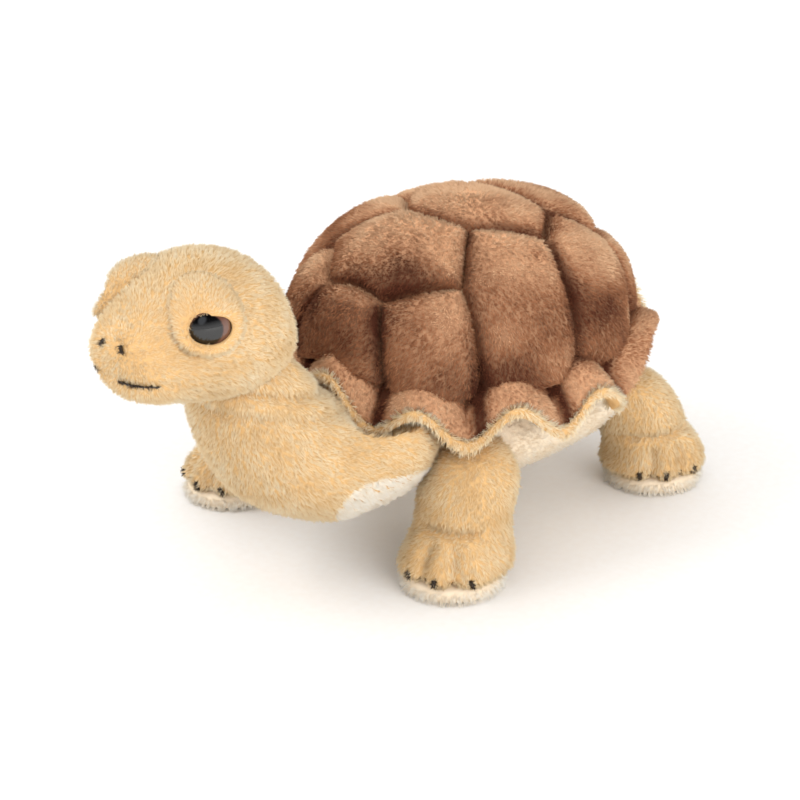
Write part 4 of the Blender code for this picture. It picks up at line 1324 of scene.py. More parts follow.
@dataclass
class Trunk:
    """The belly, the neck with its chest, and the tail.

    A section has its place along first, then its reach as shares of the full size. A neck fold has its
    height at the joint, its slope and its depth. The cream patch's front has its place, its bend and
    the height of its middle. Its top has a height, a slope and where it is that high, and its fall is
    how far the top drops in front and over what length.
    """

    layout: Layout
    belly_half: Triple = (42.0, 53.0, 22.0)
    belly_centre: Triple = (0.0, 1.0, 37.0)
    belly_sections: tuple[Triple, ...] = (
        (-1.00, 0.36, 0.40), (-0.86, 0.72, 0.74), (-0.48, 0.98, 0.99), (0.00, 1.04, 1.03),
        (0.48, 0.98, 0.99), (0.86, 0.72, 0.74), (1.00, 0.36, 0.40),
    )
    belly_top: float = 51.0
    belly_pile_top: float = 49.0
    belly_grid: tuple[int, int] = (80, 120)
    belly_filling: tuple[float, float, int] = (16.0, 0.5, 21)
    neck_start: Pair = (-36.0, 37.0)
    neck_reach: float = 60.0
    neck_rise: float = 44.0
    chest: Pair = (60.0, 42.0)
    neck_sections: tuple[tuple[float, float, float, float], ...] = (
        (0.00, 0.16, 0.46, 0.44), (0.30, 0.06, 0.52, 0.49), (0.60, 0.02, 0.48, 0.50), (0.80, 0.25, 0.39, 0.48),
        (0.90, 0.50, 0.33, 0.43), (0.96, 0.74, 0.31, 0.40), (1.00, 0.98, 0.22, 0.32),
    )
    neck_grid: tuple[int, int] = (110, 130)
    neck_filling: tuple[float, float, int] = (12.0, 0.55, 22)
    shoulder_at: Triple = (29.0, -57.0, 49.0)
    shoulder_rise: float = 4.0
    brim_lies_to: float = 6.5
    brim_lies_over: float = 44.0
    neck_folds: tuple[Triple, ...] = ((69.0, 0.30, 1.6), (62.0, 0.22, 1.2))
    patch_front: Triple = (-79.3, 0.062, 33.5)
    patch_top: Triple = (39.5, 0.15, -72.0)
    patch_fall: Pair = (5.0, 4.0)
    bend: tuple[Triple, Triple] = ((0.0, -88.0, 50.0), (0.0, -97.0, 70.0))
    tail_start: Pair = (47.0, 36.0)
    tail_length: float = 20.0
    tail_fall: float = 9.0
    tail_thickness: float = 15.0
    tail_sections: tuple[Pair, ...] = ((0.0, 0.45), (0.3, 0.50), (0.7, 0.34), (1.0, 0.12))
    tail_grid: tuple[int, int] = (40, 56)
    pile_depth: float = 1.4

    def belly(self) -> Skin:
        """The cream cushion: oval sections along the body, pressed flat where the shell lies on it."""
        along, side, up = np.array(self.belly_sections).T
        half_width, half_length, half_height = self.belly_half
        skin = loft(
            np.array(self.belly_centre) + axis_rows(along * half_length, 1), axis_rows(side * half_width, 0),
            axis_rows(up * half_height, 2), *self.belly_grid).moved(-self.pile_depth)
        points = skin.points.copy()
        over = points[:, 2] - self.belly_top
        points[:, 2] = np.where(over > 0, self.belly_top + over * 0.03, points[:, 2])
        return Skin(points, skin.triangles).lumpy(*self.belly_filling)

    def neck(self) -> Skin:
        """The chest and neck: sections square to a spine that runs forward and turns up.

        The left shoulder, where the brim lies on it, is fuller by 4 exp(-r² / 110) mm.
        """
        ahead, rise, side, depth = np.array(self.neck_sections).T
        spine = np.column_stack((
            np.zeros(len(ahead)), self.neck_start[0] - ahead * self.neck_reach,
            self.neck_start[1] + rise * self.neck_rise))
        along = unit(np.vstack((spine[1:], spine[-1:])) - np.vstack((spine[:1], spine[:-1])))
        across = np.array((1.0, 0.0, 0.0))
        skin = loft(
            spine, across * (side * self.chest[0])[:, None],
            np.cross(along, across) * (depth * self.chest[1])[:, None], *self.neck_grid).moved(-self.pile_depth)
        off = skin.points - np.array(self.shoulder_at)
        shoulder = self.shoulder_rise * np.exp(-(off ** 2).sum(1) / 110.0)
        return self.folded(skin.moved(shoulder)).lumpy(*self.neck_filling)

    def rested(self, skin: Skin, brim: RuffledBrim) -> Skin:
        """Press the neck down where the brim lies on it.

        The cloth stays 6.5 mm under the brim's own surface, and beyond its edge the limit rises by 0.9 mm
        for each mm.

        Args:
            skin: the neck's skin.
            brim: the brim.

        Returns:
            The pressed skin.
        """
        points = skin.points.copy()
        turn, reach = brim.turn_of(points), brim.reach_of(points)
        edge = brim.place(turn, np.minimum(reach, 12.0), np.full(len(turn), -6.5))[:, 2]
        over = points[:, 2] - edge - 0.9 * np.maximum(reach - 13.5, 0.0)
        points[:, 2] -= np.where(reach < 40.0, np.maximum(over, 0.0), 0.0)
        return Skin(points, skin.triangles)

    def folded(self, skin: Skin) -> Skin:
        """Press the soft folds under the jaw into the neck: each is a bell, 1.5 mm half wide."""
        points, outward = skin.points, skin.normals()
        press = np.zeros(len(points))
        for height, slope, depth in self.neck_folds:
            off = points[:, 2] - height + slope * (points[:, 1] + 97.0)
            press += depth * np.exp(-(off / 1.5) ** 2) * smooth((points[:, 0] + 4.0) / 8.0 + 0.5)
        return Skin(points - outward * press[:, None], skin.triangles)

    def tail(self) -> Skin:
        """A short cone that hangs down behind."""
        along, half = np.array(self.tail_sections).T
        centres = np.column_stack((
            np.zeros(len(along)), self.tail_start[0] + along * self.tail_length,
            self.tail_start[1] - along * self.tail_fall))
        reach = half * self.tail_thickness
        return loft(centres, axis_rows(reach, 0), axis_rows(reach, 2), *self.tail_grid).moved(-1.0)

    def on_chest_patch(self, roots: Array) -> Array:
        """Whether places lie on the chest's cream patch: low down, and behind its round front edge."""
        ahead, curve, middle = self.patch_front
        height, slope, level = self.patch_top
        fall, fade = self.patch_fall
        front = ahead + curve * (roots[:, 2] - middle) ** 2
        drop = fall * np.exp(-np.maximum(roots[:, 1] - ahead, 0.0) / fade)
        top = height - slope * (roots[:, 1] - level) - drop
        return (roots[:, 2] < top) & (roots[:, 1] > front)

    def down(self, roots: Array, outward: Array) -> Array:
        """The pile is brushed down the neck, and back along the chest."""
        back = smooth((66.0 - roots[:, 2]) / 30.0)
        return np.column_stack((roots[:, 0] * 0.012, 0.15 + 0.9 * back, -1.0 + 0.55 * back))

    def dress(self, head: Skin, brim: RuffledBrim) -> tuple[Skin, Skin]:
        """Make the three pieces and their pile.

        Args:
            head: the head's skin, inside which the neck grows no pile.
            brim: the brim, which lies on the neck.

        Returns:
            The belly's and the neck's skins.
        """
        layout = self.layout
        belly, neck, tail = self.belly(), self.rested(self.neck(), brim), self.tail()

        def low(roots: Array, outward: Array) -> Array:
            """The belly grows pile only where the shell, neck and tail leave it open."""
            return (roots[:, 2] < self.belly_pile_top) & outside([neck, tail], 4.0)(roots, outward)

        def open_neck(roots: Array, outward: Array) -> Array:
            """The neck grows no pile deep inside the head or the belly, or under the brim."""
            clear = (brim.reach_of(roots) > self.brim_lies_to) | (roots[:, 2] < self.brim_lies_over)
            return clear & outside([head], 4.0)(roots, outward) & outside([belly], 3.0)(roots, outward)

        def tan_neck(roots: Array, outward: Array) -> Array:
            """Tan pile grows all round the chest's cream patch."""
            return open_neck(roots, outward) & ~self.on_chest_patch(roots)

        def cream_chest(roots: Array, outward: Array) -> Array:
            """Cream pile grows on the patch."""
            return open_neck(roots, outward) & self.on_chest_patch(roots)

        cream = Pile(length=1.7, spacing=0.68, lean=56.0, tuft=1.3, width=0.46, contrast=0.7, seed=21)
        carry("trunk", [
            padded_skin("belly_cloth", belly, CREAM, layout, ("belly",)),
            *cream.grow("belly_pile", belly, CREAM, layout, brushed(0.0, 1.0, -0.1), tone=even(-0.3), keep=low),
        ])
        tan = Pile(length=2.1, spacing=0.42, width=0.32, lean=56.0, tuft=1.15, seed=22)
        short = Pile(length=2.3, spacing=0.32, width=0.46, lean=60.0, contrast=0.5, seed=24)
        start, end = (layout.to_row(np.array(point)) for point in self.bend)
        for piece in (
            padded_skin("neck_cloth", neck, TAN, layout, ("neck_and_chest",)),
            *tan.grow("neck_pile", neck, TAN, layout, self.down, keep=tan_neck),
            *short.grow("chest_pile", neck, CREAM, layout, self.down, keep=cream_chest),
        ):
            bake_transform(piece)
        stub = Pile(length=2.0, spacing=0.44, lean=50.0, seed=23)
        carry("trunk", [
            padded_skin("tail_cloth", tail, TAN, layout, ("tail",)),
            *stub.grow("tail_pile", tail, TAN, layout, brushed(0.0, 0.7, -0.6), keep=outside([belly], 3.0)),
        ])
        return belly, neck


# Head


@dataclass
class Head:
    """The stuffed head with its eyes, puffed lids, nostrils and mouth.

    A section has its place along, half width, top and bottom, as shares of the head's size. The lid's
    reach and rise are those at the eye's side, then what is added above it, then what changes below.
    The muzzle's and the mouth's shares are of the pile's length.
    """

    layout: Layout
    centre: Triple = (0.0, -113.0, 89.0)
    size: Triple = (49.0, 58.0, 46.0)
    sections: tuple[tuple[float, float, float, float], ...] = (
        (-0.50, 0.23, 0.06, -0.34), (-0.42, 0.36, 0.29, -0.44), (-0.24, 0.46, 0.44, -0.48),
        (-0.03, 0.46, 0.49, -0.46), (0.17, 0.39, 0.41, -0.39), (0.34, 0.31, 0.28, -0.33),
        (0.44, 0.24, 0.18, -0.26), (0.475, 0.13, 0.08, -0.15),
    )
    grid: tuple[int, int] = (130, 180)
    filling: tuple[float, float, int] = (13.0, 0.5, 31)
    eye_diameter: float = 12.2
    eye_dome: float = 3.4
    eye_sink: float = 0.8
    eye_aim: Triple = (17.0, -121.5, 96.5)
    eye_open: Triple = (5.6, 3.7, 3.7)
    eye_turn: float = 62.0
    eye_tilt: float = 6.0
    lid_reach: Triple = (9.9, 2.2, 3.0)
    lid_rise: Triple = (3.4, 2.4, 0.9)
    mouth_turn: float = 58.0
    mouth_height: float = 82.8
    mouth_fall: float = 0.7
    mouth_fold: float = 1.3
    mouth_threads: tuple[tuple[Side, int, int, float], ...] = (
        (Side.LEFT, 32, 55, -1.05), (Side.RIGHT, 6, 20, -1.5))
    mouth_radius: float = 0.28
    nostril_radius: float = 0.46
    nostril_rise: float = -0.75
    nostril: tuple[Pair, ...] = ((10.5, 93.4), (11.5, 92.3), (13.5, 91.2))
    nose: Triple = (0.0, -142.0, 92.0)
    muzzle_share: float = 0.75
    mouth_share: float = 0.6
    mouth_shade: float = 0.35
    eye_bare: float = 8.0
    pile_depth: float = 1.4

    def form(self) -> Skin:
        """The head before its pile is taken off: oval sections from the back of the head to the nose."""
        along, side, top, bottom = np.array(self.sections).T
        width, length, height = self.size
        centres = np.array(self.centre) + np.column_stack((
            np.zeros(len(along)), -along * length, (top + bottom) / 2 * height))
        return loft(centres, axis_rows(side * width, 0), axis_rows((top - bottom) / 2 * height, 2), *self.grid)

    def skin(self) -> Skin:
        """The head's cloth, with the mouth's fold pressed in by 1.3 exp(-(d / 1.7)²) mm."""
        skin = self.form().moved(-self.pile_depth)
        points, outward = skin.points, skin.normals()
        press = self.mouth_fold * np.exp(-(line_distance(points, self.mouth_line()[::3]) / 1.7) ** 2)
        return Skin(points - outward * press[:, None], skin.triangles).lumpy(*self.filling)

    def seat(self, side: Side) -> tuple[Array, Array]:
        """Where an eye sits and how it is turned.

        Args:
            side: which eye.

        Returns:
            The seat, and rows of the eye's own axes: across, up and out.
        """
        turn, tilt = math.radians(self.eye_turn), math.radians(self.eye_tilt)
        out = np.array((
            side.value * math.sin(turn) * math.cos(tilt), -math.cos(turn) * math.cos(tilt), math.sin(tilt)))
        aim = np.array(self.eye_aim) * (side.value, 1.0, 1.0)
        points = self.form().points
        off = points - aim
        reach = off @ out
        aside = np.linalg.norm(off - reach[:, None] * out, axis=1)
        aside[reach < -self.size[0] / 2] = 1e3
        seat = aim + out * (reach[aside.argmin()] - self.eye_sink)
        across = unit(np.cross((0.0, 0.0, 1.0), out))
        return seat, np.stack((across, np.cross(out, across), out))

    def on_face(self, rows: Array) -> Array:
        """Lay places on the head's form.

        Args:
            rows: for each place, its turn to the left in degrees from straight ahead, and its height.

        Returns:
            The places, where a level line from the head's axis meets the form.
        """
        form = self.form().points
        middle = np.array((0.0, -122.0))
        turn = np.degrees(np.arctan2(form[:, 0], -(form[:, 1] - middle[1])))
        near = [np.argmin(((turn - row[0]) / 2.0) ** 2 + (form[:, 2] - row[1]) ** 2) for row in rows]
        return form[near]

    def mouth_line(self) -> Array:
        """The mouth: a line of places round the muzzle that falls a little to its ends."""
        turn = np.linspace(-self.mouth_turn, self.mouth_turn, 61)
        height = self.mouth_height - self.mouth_fall * (turn / 50.0) ** 2
        return self.on_face(np.column_stack((turn, height)))

    def lid(self, side: Side) -> Skin:
        """One puffed eyelid: a soft ring round the eye, higher and wider above it.

        The eye's opening is an oval. Across the ring, with t from 0 at the opening to 1 at the outside,
        the lid stands over the head by its height x (1 - |2(0.22 + 0.78 t) - 1|^2.4)^q, where q is 0.5
        for steep sides, and 1.3 in front, where the lid runs out softly. It ends just inside the head.

        The head's form under the lid is fitted with a quadratic in the eye's own plane. Going round, the
        lid reaches and rises furthest above the eye, and a little higher behind it.

        Args:
            side: which eye.

        Returns:
            The lid's skin.
        """
        seat, axes = self.seat(side)
        local = (self.form().points - seat) @ axes.T
        near = (np.hypot(local[:, 0], local[:, 1]) < 15.0) & (local[:, 2] > -12.0)
        u, v, w = local[near].T
        terms = np.linalg.lstsq(np.stack((u * 0 + 1, u, v, u * u, u * v, v * v), 1), w, rcond=None)[0]
        turn = np.linspace(0.0, math.tau, 120, endpoint=False)[:, None]
        upness, rearness = np.sin(turn), np.cos(turn) * side.value
        half = np.where(upness > 0, self.eye_open[1], self.eye_open[2])
        opening = self.eye_open[0] * half / np.hypot(half * rearness, self.eye_open[0] * upness)
        aside, above, below = self.lid_reach
        outer = aside + above * smooth(upness) * upness - below * np.maximum(-upness, 0.0) ** 1.5
        aside, above, below = self.lid_rise
        tall = aside + np.where(upness > 0, above, below) * upness ** 2 + 0.3 * rearness
        tall = tall + smooth(rearness + 0.2) * smooth(upness + 0.2)
        t = np.linspace(0.0, 1.0, 20)[None, :]
        reach = opening + (outer - opening) * t
        across, upward = reach * np.cos(turn), reach * np.sin(turn)
        base = (
            terms[0] + terms[1] * across + terms[2] * upward + terms[3] * across ** 2
            + terms[4] * across * upward + terms[5] * upward ** 2)
        soft = 0.5 + 0.8 * smooth(0.3 - rearness)
        shape = (1.0 - np.abs(2.0 * (0.22 + 0.78 * t) - 1.0) ** 2.4) ** soft
        lift = base - 1.5 + tall * shape - 0.8 * t ** 4
        top = np.stack((across, upward, lift), -1)
        index = np.array((16, 8, 1))
        under = top[:, index] - np.array((0.0, 0.0, 1.0)) * np.array((1.8, 4.0, 4.2))[None, :, None]
        section = np.concatenate((top, under), 1)
        return hoop(seat + section @ axes)

    def eye(self, side: Side) -> None:
        """Make one eye: a polished dome on a thin flange, turned about its own axis."""
        seat, axes = self.seat(side)
        radius = self.eye_diameter / 2
        arc = np.linspace(0.0, math.pi / 2, 18)
        out = np.concatenate((radius * np.sin(arc), (radius, radius * 0.97, radius * 0.5, 0.0)))
        up = np.concatenate((self.eye_dome * np.cos(arc), (-0.6, -1.0, -1.2, -1.2)))
        turn = np.linspace(0.0, math.tau, 72, endpoint=False)[None, :]
        grid = np.stack((out[:, None] * np.cos(turn), out[:, None] * np.sin(turn), up[:, None] + turn * 0), -1)
        skin = tube(seat + grid @ axes)
        name = "eye_dome_" + side.label
        made = mesh_object(name, self.layout.to_row(skin.points), skin.triangles, EyeFinish().dress(name))
        local = ((skin.points - seat) @ axes.T)[:, :2] / self.eye_diameter + 0.5
        local = local + np.array((0.1 * side.value, -0.01))
        face = made.data.uv_layers.new(name=EYE_MAP)
        face.uv.foreach_set("vector", local[skin.triangles.ravel()].astype(np.float32).ravel())
        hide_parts("eye_" + side.label)
        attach(made, "head")
        LOG.info("%s: %d triangles", name, len(skin.triangles))

    def nap(self, roots: Array, outward: Array) -> Array:
        """The face is brushed back from the nose, and down over the cheeks and the back of the head."""
        back = unit(roots - np.array(self.nose))
        fall = smooth((roots[:, 1] + 125.0) / 30.0)[:, None]
        swirl = (lattice_noise(roots, 15.0, 37) - 0.5)[:, None] * np.array((1.2, 0.0, 1.0))
        return back * (1.0 - 0.5 * fall) + np.array((0.0, 0.25, -0.9)) * fall + swirl

    def dress(self) -> Skin:
        """Make the head and its pieces.

        Returns:
            The head's skin.
        """
        layout, skin, mouth = self.layout, self.skin(), self.mouth_line()[::3]
        seats = {side: self.seat(side) for side in Side}
        lids = {side: self.lid(side) for side in Side}

        def face_keep(roots: Array, outward: Array) -> Array:
            """Nothing grows under the eyes and the lids."""
            kept = np.ones(len(roots), bool)
            for seat, axes in seats.values():
                local = (roots - seat) @ axes.T
                kept &= (np.hypot(local[:, 0], local[:, 1] - 2.0) > self.eye_bare) | (local[:, 2] < -12.0)
            return kept

        def short_face(roots: Array, outward: Array) -> Array:
            """Shorter on the muzzle and beside the mouth's thread."""
            beside = smooth(line_distance(roots, mouth) / 2.2)
            behind = smooth((roots[:, 1] + 138.0) / 16.0)
            muzzle = self.muzzle_share + (1.0 - self.muzzle_share) * behind
            return muzzle * (self.mouth_share + (1.0 - self.mouth_share) * beside)

        def face_tone(roots: Array, outward: Array) -> Array:
            """Shaded along the mouth's fold."""
            return -self.mouth_shade * np.exp(-(line_distance(roots, mouth) / 1.5) ** 2)

        hair = Pile(length=2.0, spacing=0.4, width=0.31, lean=56.0, tuft=1.1, seed=31)
        carry("head", [
            padded_skin("head_cloth", skin, TAN, layout, ("head",)),
            *hair.grow("head_pile", skin, TAN, layout, self.nap, short_face, face_tone, face_keep),
        ])
        for side, lid in lids.items():
            self.eye(side)
            self.dress_lid(side, lid, *seats[side])
        self.stitches()
        return skin

    def dress_lid(self, side: Side, lid: Skin, seat: Array, axes: Array) -> None:
        """Make one lid's cloth and pile.

        Args:
            side: which eye.
            lid: the lid's skin.
            seat: where the eye sits.
            axes: rows of the eye's own axes.
        """

        def from_eye(roots: Array, outward: Array) -> Array:
            """Brushed away from the eye."""
            return unit(roots - seat) + np.array((0.0, 0.3, 0.0))

        def lid_keep(roots: Array, outward: Array) -> Array:
            """Pile grows on the lid's outer side, and not on the wall that faces the eye."""
            local = (roots - seat) @ axes.T
            inward = (outward @ axes.T * np.column_stack((local[:, :2], local[:, :1] * 0))).sum(1)
            facing = inward / np.maximum(np.hypot(local[:, 0], local[:, 1]), 1e-6)
            return (facing > -0.85) & (outward @ axes[2] > -0.05)

        label = side.label
        lashes = Pile(
            length=1.5, spacing=0.38, lean=48.0, tuft=1.0, width=0.28, roundness=1.2, seed=33 + side.value)
        carry("head", [
            padded_skin("lid_cloth_" + label, lid, TAN, self.layout, ("eyelid_" + label,)),
            *lashes.grow("lid_pile_" + label, lid, TAN, self.layout, from_eye, tone=even(0.14), keep=lid_keep),
        ])

    def stitches(self) -> None:
        """Embroider the mouth and the two nostrils."""
        line, form, layout = self.mouth_line(), self.form(), self.layout
        for side, first, last, rise in self.mouth_threads:
            part = line[first:last]
            carry("head", stitch("mouth_thread_" + side.label, part, self.mouth_radius, rise, layout, form))
        for side in Side:
            spots = self.on_face(np.array(self.nostril) * (side.value, 1.0))
            carry("head", stitch(
                "nostril_thread_" + side.label, spots, self.nostril_radius, self.nostril_rise, layout, form))


def stitch(
    name: str, line: Array, radius: float, rise: float, layout: Layout, ground: Skin
) -> list[bpy.types.Object]:
    """Lay a thread along a line on a skin.

    The thread is a round tube about a smoothed line, r cos u and r sin u square to it, tapered to
    nothing at both ends, where it goes into the cloth. Loose fibres stand out from it all round.

    Args:
        name: the thread's name.
        line: places on the skin.
        radius: half of the thread's thickness.
        rise: how far its middle stands over the skin.
        layout: the toy's layout.
        ground: the skin.

    Returns:
        The thread and its loose fibres.
    """
    near = [int(((ground.points - place) ** 2).sum(1).argmin()) for place in line]
    outward = ground.normals()[near]
    knots = np.vstack((line[:1], line, line[-1:])) if len(line) > 3 else np.vstack((
        line[:1] * 2 - line[1:2], line, line[-1:] * 2 - line[-2:-1]))
    lean = np.vstack((outward[:1], outward, outward[-1:]))
    steps = max(24, len(line) * 3)
    path, out = spline_rows(knots, steps), unit(spline_rows(lean, steps))
    along = unit(np.gradient(path, axis=0))
    across = np.cross(along, out)
    share = np.linspace(0.0, 1.0, steps)
    taper = np.minimum(1.0, np.minimum(share, 1.0 - share) * 9.0) ** 0.5
    sunk = rise - (1.0 - taper) * radius
    middle = (path + out * sunk[:, None])[:, None]
    turn = np.linspace(0.0, math.tau, 10, endpoint=False)[None, :, None]
    ring = across[:, None] * np.cos(turn) + out[:, None] * np.sin(turn)
    skin = tube(middle + ring * (radius * taper)[:, None, None])
    made = mesh_object(name, layout.to_row(skin.points), skin.triangles, ThreadFinish().dress(name))
    LOG.info("%s: %d triangles", name, len(skin.triangles))
    fluff = Pile(length=1.2, spacing=0.4, width=0.2, lean=45.0, tuft=0.6, stray=1.4, sink=0.1, seed=len(line))
    return [made, *fluff.grow(name + "_fibres", skin, FIBRES, layout, brushed(0.0, 0.3, -1.0))]


# Legs


@dataclass
class Leg:
    """One stuffed leg on its cream sole, with three embroidered claws.

    A section has its height, its lean towards the hip, half width, half length and how far ahead it lies.
    Toes, claws and creases are angles round the foot. The sole's profile pairs height with reach.
    """

    layout: Layout
    label: str
    side: Side
    hip: Triple
    foot: Pair
    length: float
    toes: float
    width: float = 33.0
    sole: float = 4.0
    sole_shift: float = 1.6
    seed: int = 40
    sections: tuple[tuple[float, float, float, float, float], ...] = (
        (0.00, 0.00, 0.450, 0.450, 0.06), (0.08, 0.00, 0.515, 0.515, 0.06), (0.25, 0.06, 0.460, 0.450, 0.03),
        (0.45, 0.40, 0.410, 0.400, 0.00), (0.78, 0.76, 0.470, 0.430, 0.00), (1.12, 1.02, 0.300, 0.290, 0.00),
    )
    grid: tuple[int, int] = (80, 110)
    claws: tuple[float, ...] = (-33.0, -2.0, 35.0)
    claw_heights: tuple[float, ...] = (8.3, 7.5, 6.8, 6.2)
    claw_radius: float = 0.6
    claw_rise: float = 0.45
    creases: tuple[float, ...] = (-18.0, 17.0)
    crease: float = 2.2
    crease_heights: Pair = (4.0, 19.0)
    crease_from: float = 6.0
    instep_height: float = 20.0
    instep_turn: float = 75.0
    toe_turn: float = 80.0
    toe_height: float = 13.0
    toe_swell: float = 1.2
    sole_profile: tuple[Pair, ...] = (
        (0.4, 0.0), (0.4, 0.30), (0.4, 0.37), (0.9, 0.40), (2.0, 0.415), (3.4, 0.41), (4.8, 0.39), (5.2, 0.30),
        (5.2, 0.0))
    pile_depth: float = 1.0
    splay: float = 0.6
    splay_heights: Pair = (12.0, 24.0)
    leg_pile_from: float = 4.6
    sole_pile_to: float = 4.7

    def toe_ground(self) -> Array:
        """The middle of the foot, which the toes' angles are measured from."""
        return np.array((self.foot[0], self.foot[1] - 0.06 * self.length))

    def limb(self) -> Skin:
        """The leg: sections that lean from the foot to the hip, with the foot's folds pressed in.

        Each fold between the toes is 2.2 exp(-|w / 2|^1.5) mm deep at w mm aside from its middle. The
        instep's fold is as deep and runs across, and the toes swell by 1.2 mm under it.
        """
        up, lean, side, depth, ahead = np.array(self.sections).T
        foot, hip = np.array((*self.foot, self.sole)), np.array(self.hip)
        centres = foot + (hip - foot) * lean[:, None]
        centres[:, 1] -= ahead * self.length
        centres[:, 2] = self.sole + 0.3 + up * (hip[2] - self.sole - 0.3)
        skin = loft(
            centres, axis_rows(side * self.width, 0), axis_rows(-depth * self.length, 1), *self.grid
        ).moved(-self.pile_depth)
        points, outward = skin.points, skin.normals()
        off = points[:, :2] - self.toe_ground()
        turn = np.degrees(np.arctan2(off[:, 0] * self.side.value, -off[:, 1])) - self.toes
        turn = np.remainder(turn + 180.0, 360.0) - 180.0
        reach, height = np.hypot(off[:, 0], off[:, 1]), points[:, 2]
        press = np.zeros(len(points))
        low, high = self.crease_heights
        for crease in self.creases:
            aside = np.radians(turn - crease) * reach
            press += self.crease * np.exp(-np.abs(aside / 2.0) ** 1.5) * smooth((height - low) / 3.0) * smooth(
                (high - height) / 5.0) * (reach > self.crease_from)
        front = smooth((self.instep_turn - np.abs(turn)) / 35.0)
        toes = smooth((self.toe_turn - np.abs(turn)) / 40.0)
        press += self.crease * np.exp(-((height - self.instep_height) / 1.5) ** 2) * front
        press -= self.toe_swell * np.exp(-((height - self.toe_height) / 6.0) ** 2) * toes
        return Skin(points - outward * press[:, None], skin.triangles).lumpy(11.0, 0.5, self.seed)

    def pad(self) -> Skin:
        """The sole: a flat cream cushion, a little puffed at its side."""
        height, reach = np.array(self.sole_profile).T
        turn = np.linspace(0.0, math.tau, 96, endpoint=False)[None, :]
        toward = math.radians(self.toes) * self.side.value
        middle = self.toe_ground() + self.sole_shift * np.array((math.sin(toward), -math.cos(toward)))
        return tube(np.stack((
            middle[0] + reach[:, None] * self.width * np.cos(turn),
            middle[1] + reach[:, None] * self.length * np.sin(turn),
            height[:, None] + turn * 0), -1))

    def claw(self, number: int, limb: Skin) -> list[bpy.types.Object]:
        """One claw: a short thick stitch down the front of a toe.

        Args:
            number: which toe.
            limb: the leg's skin.

        Returns:
            The thread and its loose fibres.
        """
        turn = math.radians(self.toes + self.claws[number]) * self.side.value
        points = limb.points
        off = points[:, :2] - self.toe_ground()
        miss = np.abs(wrapped(np.arctan2(off[:, 0], -off[:, 1]) - turn))
        spots = []
        for height in self.claw_heights:
            score = miss * 16.0 + np.abs(points[:, 2] - height) + 50.0 * (np.hypot(off[:, 0], off[:, 1]) < 6.0)
            spots.append(points[score.argmin()])
        name = f"claw_thread_{self.label}_{number + 1}"
        return stitch(name, np.array(spots), self.claw_radius, self.claw_rise, self.layout, limb)

    def dress(self, inside: list[Skin]) -> None:
        """Make the leg, its sole, its claws and its pile.

        Args:
            inside: the skins inside which the leg grows no pile.
        """
        layout, limb, pad = self.layout, self.limb(), self.pad()
        leg, sole = "leg_" + self.label, "sole_" + self.label

        def down(roots: Array, outward: Array) -> Array:
            """Down the leg, and outwards over the foot."""
            off = np.column_stack((roots[:, :2] - self.toe_ground(), np.zeros(len(roots))))
            bottom, top = self.splay_heights
            low = smooth((top - roots[:, 2]) / (top - bottom))[:, None]
            return np.array((0.0, 0.0, -1.0)) + unit(off) * low * self.splay

        def leg_keep(roots: Array, outward: Array) -> Array:
            """The pile stops at the sole, and where the leg goes deep into the body."""
            return outside(inside, 4.0)(roots, outward) & (roots[:, 2] > self.leg_pile_from)

        def rim_only(roots: Array, outward: Array) -> Array:
            """The sole's pile shows round its side."""
            return (outward[:, 2] > -0.3) & (outward[:, 2] < 0.8) & (roots[:, 2] < self.sole_pile_to)

        tan = Pile(length=2.1, spacing=0.45, width=0.33, lean=55.0, tuft=1.15, seed=self.seed)
        fringe = Pile(
            length=2.6, spacing=0.38, lean=50.0, tuft=1.2, sink=0.4, contrast=0.7, roundness=1.2,
            seed=self.seed + 1)
        carry(leg, [
            padded_skin(leg + "_cloth", limb, TAN, layout, (leg,)),
            *tan.grow(leg + "_pile", limb, TAN, layout, down, keep=leg_keep),
            padded_skin(sole + "_cloth", pad, CREAM, layout, (sole,)),
            *fringe.grow(sole + "_pile", pad, CREAM, layout, brushed(0.0, 0.0, -1.0), keep=rim_only),
        ])
        for number in range(len(self.claws)):
            carry(leg, self.claw(number, limb))


def washers(frame: dict[str, Any]) -> None:
    """Dress the lock washers inside the head."""
    for side in Side:
        name = "eye_washer_" + side.label
        node = frame["nodes"][name]
        node.data.materials.clear()
        node.data.materials.append(WasherFinish().dress(name))


# Studio


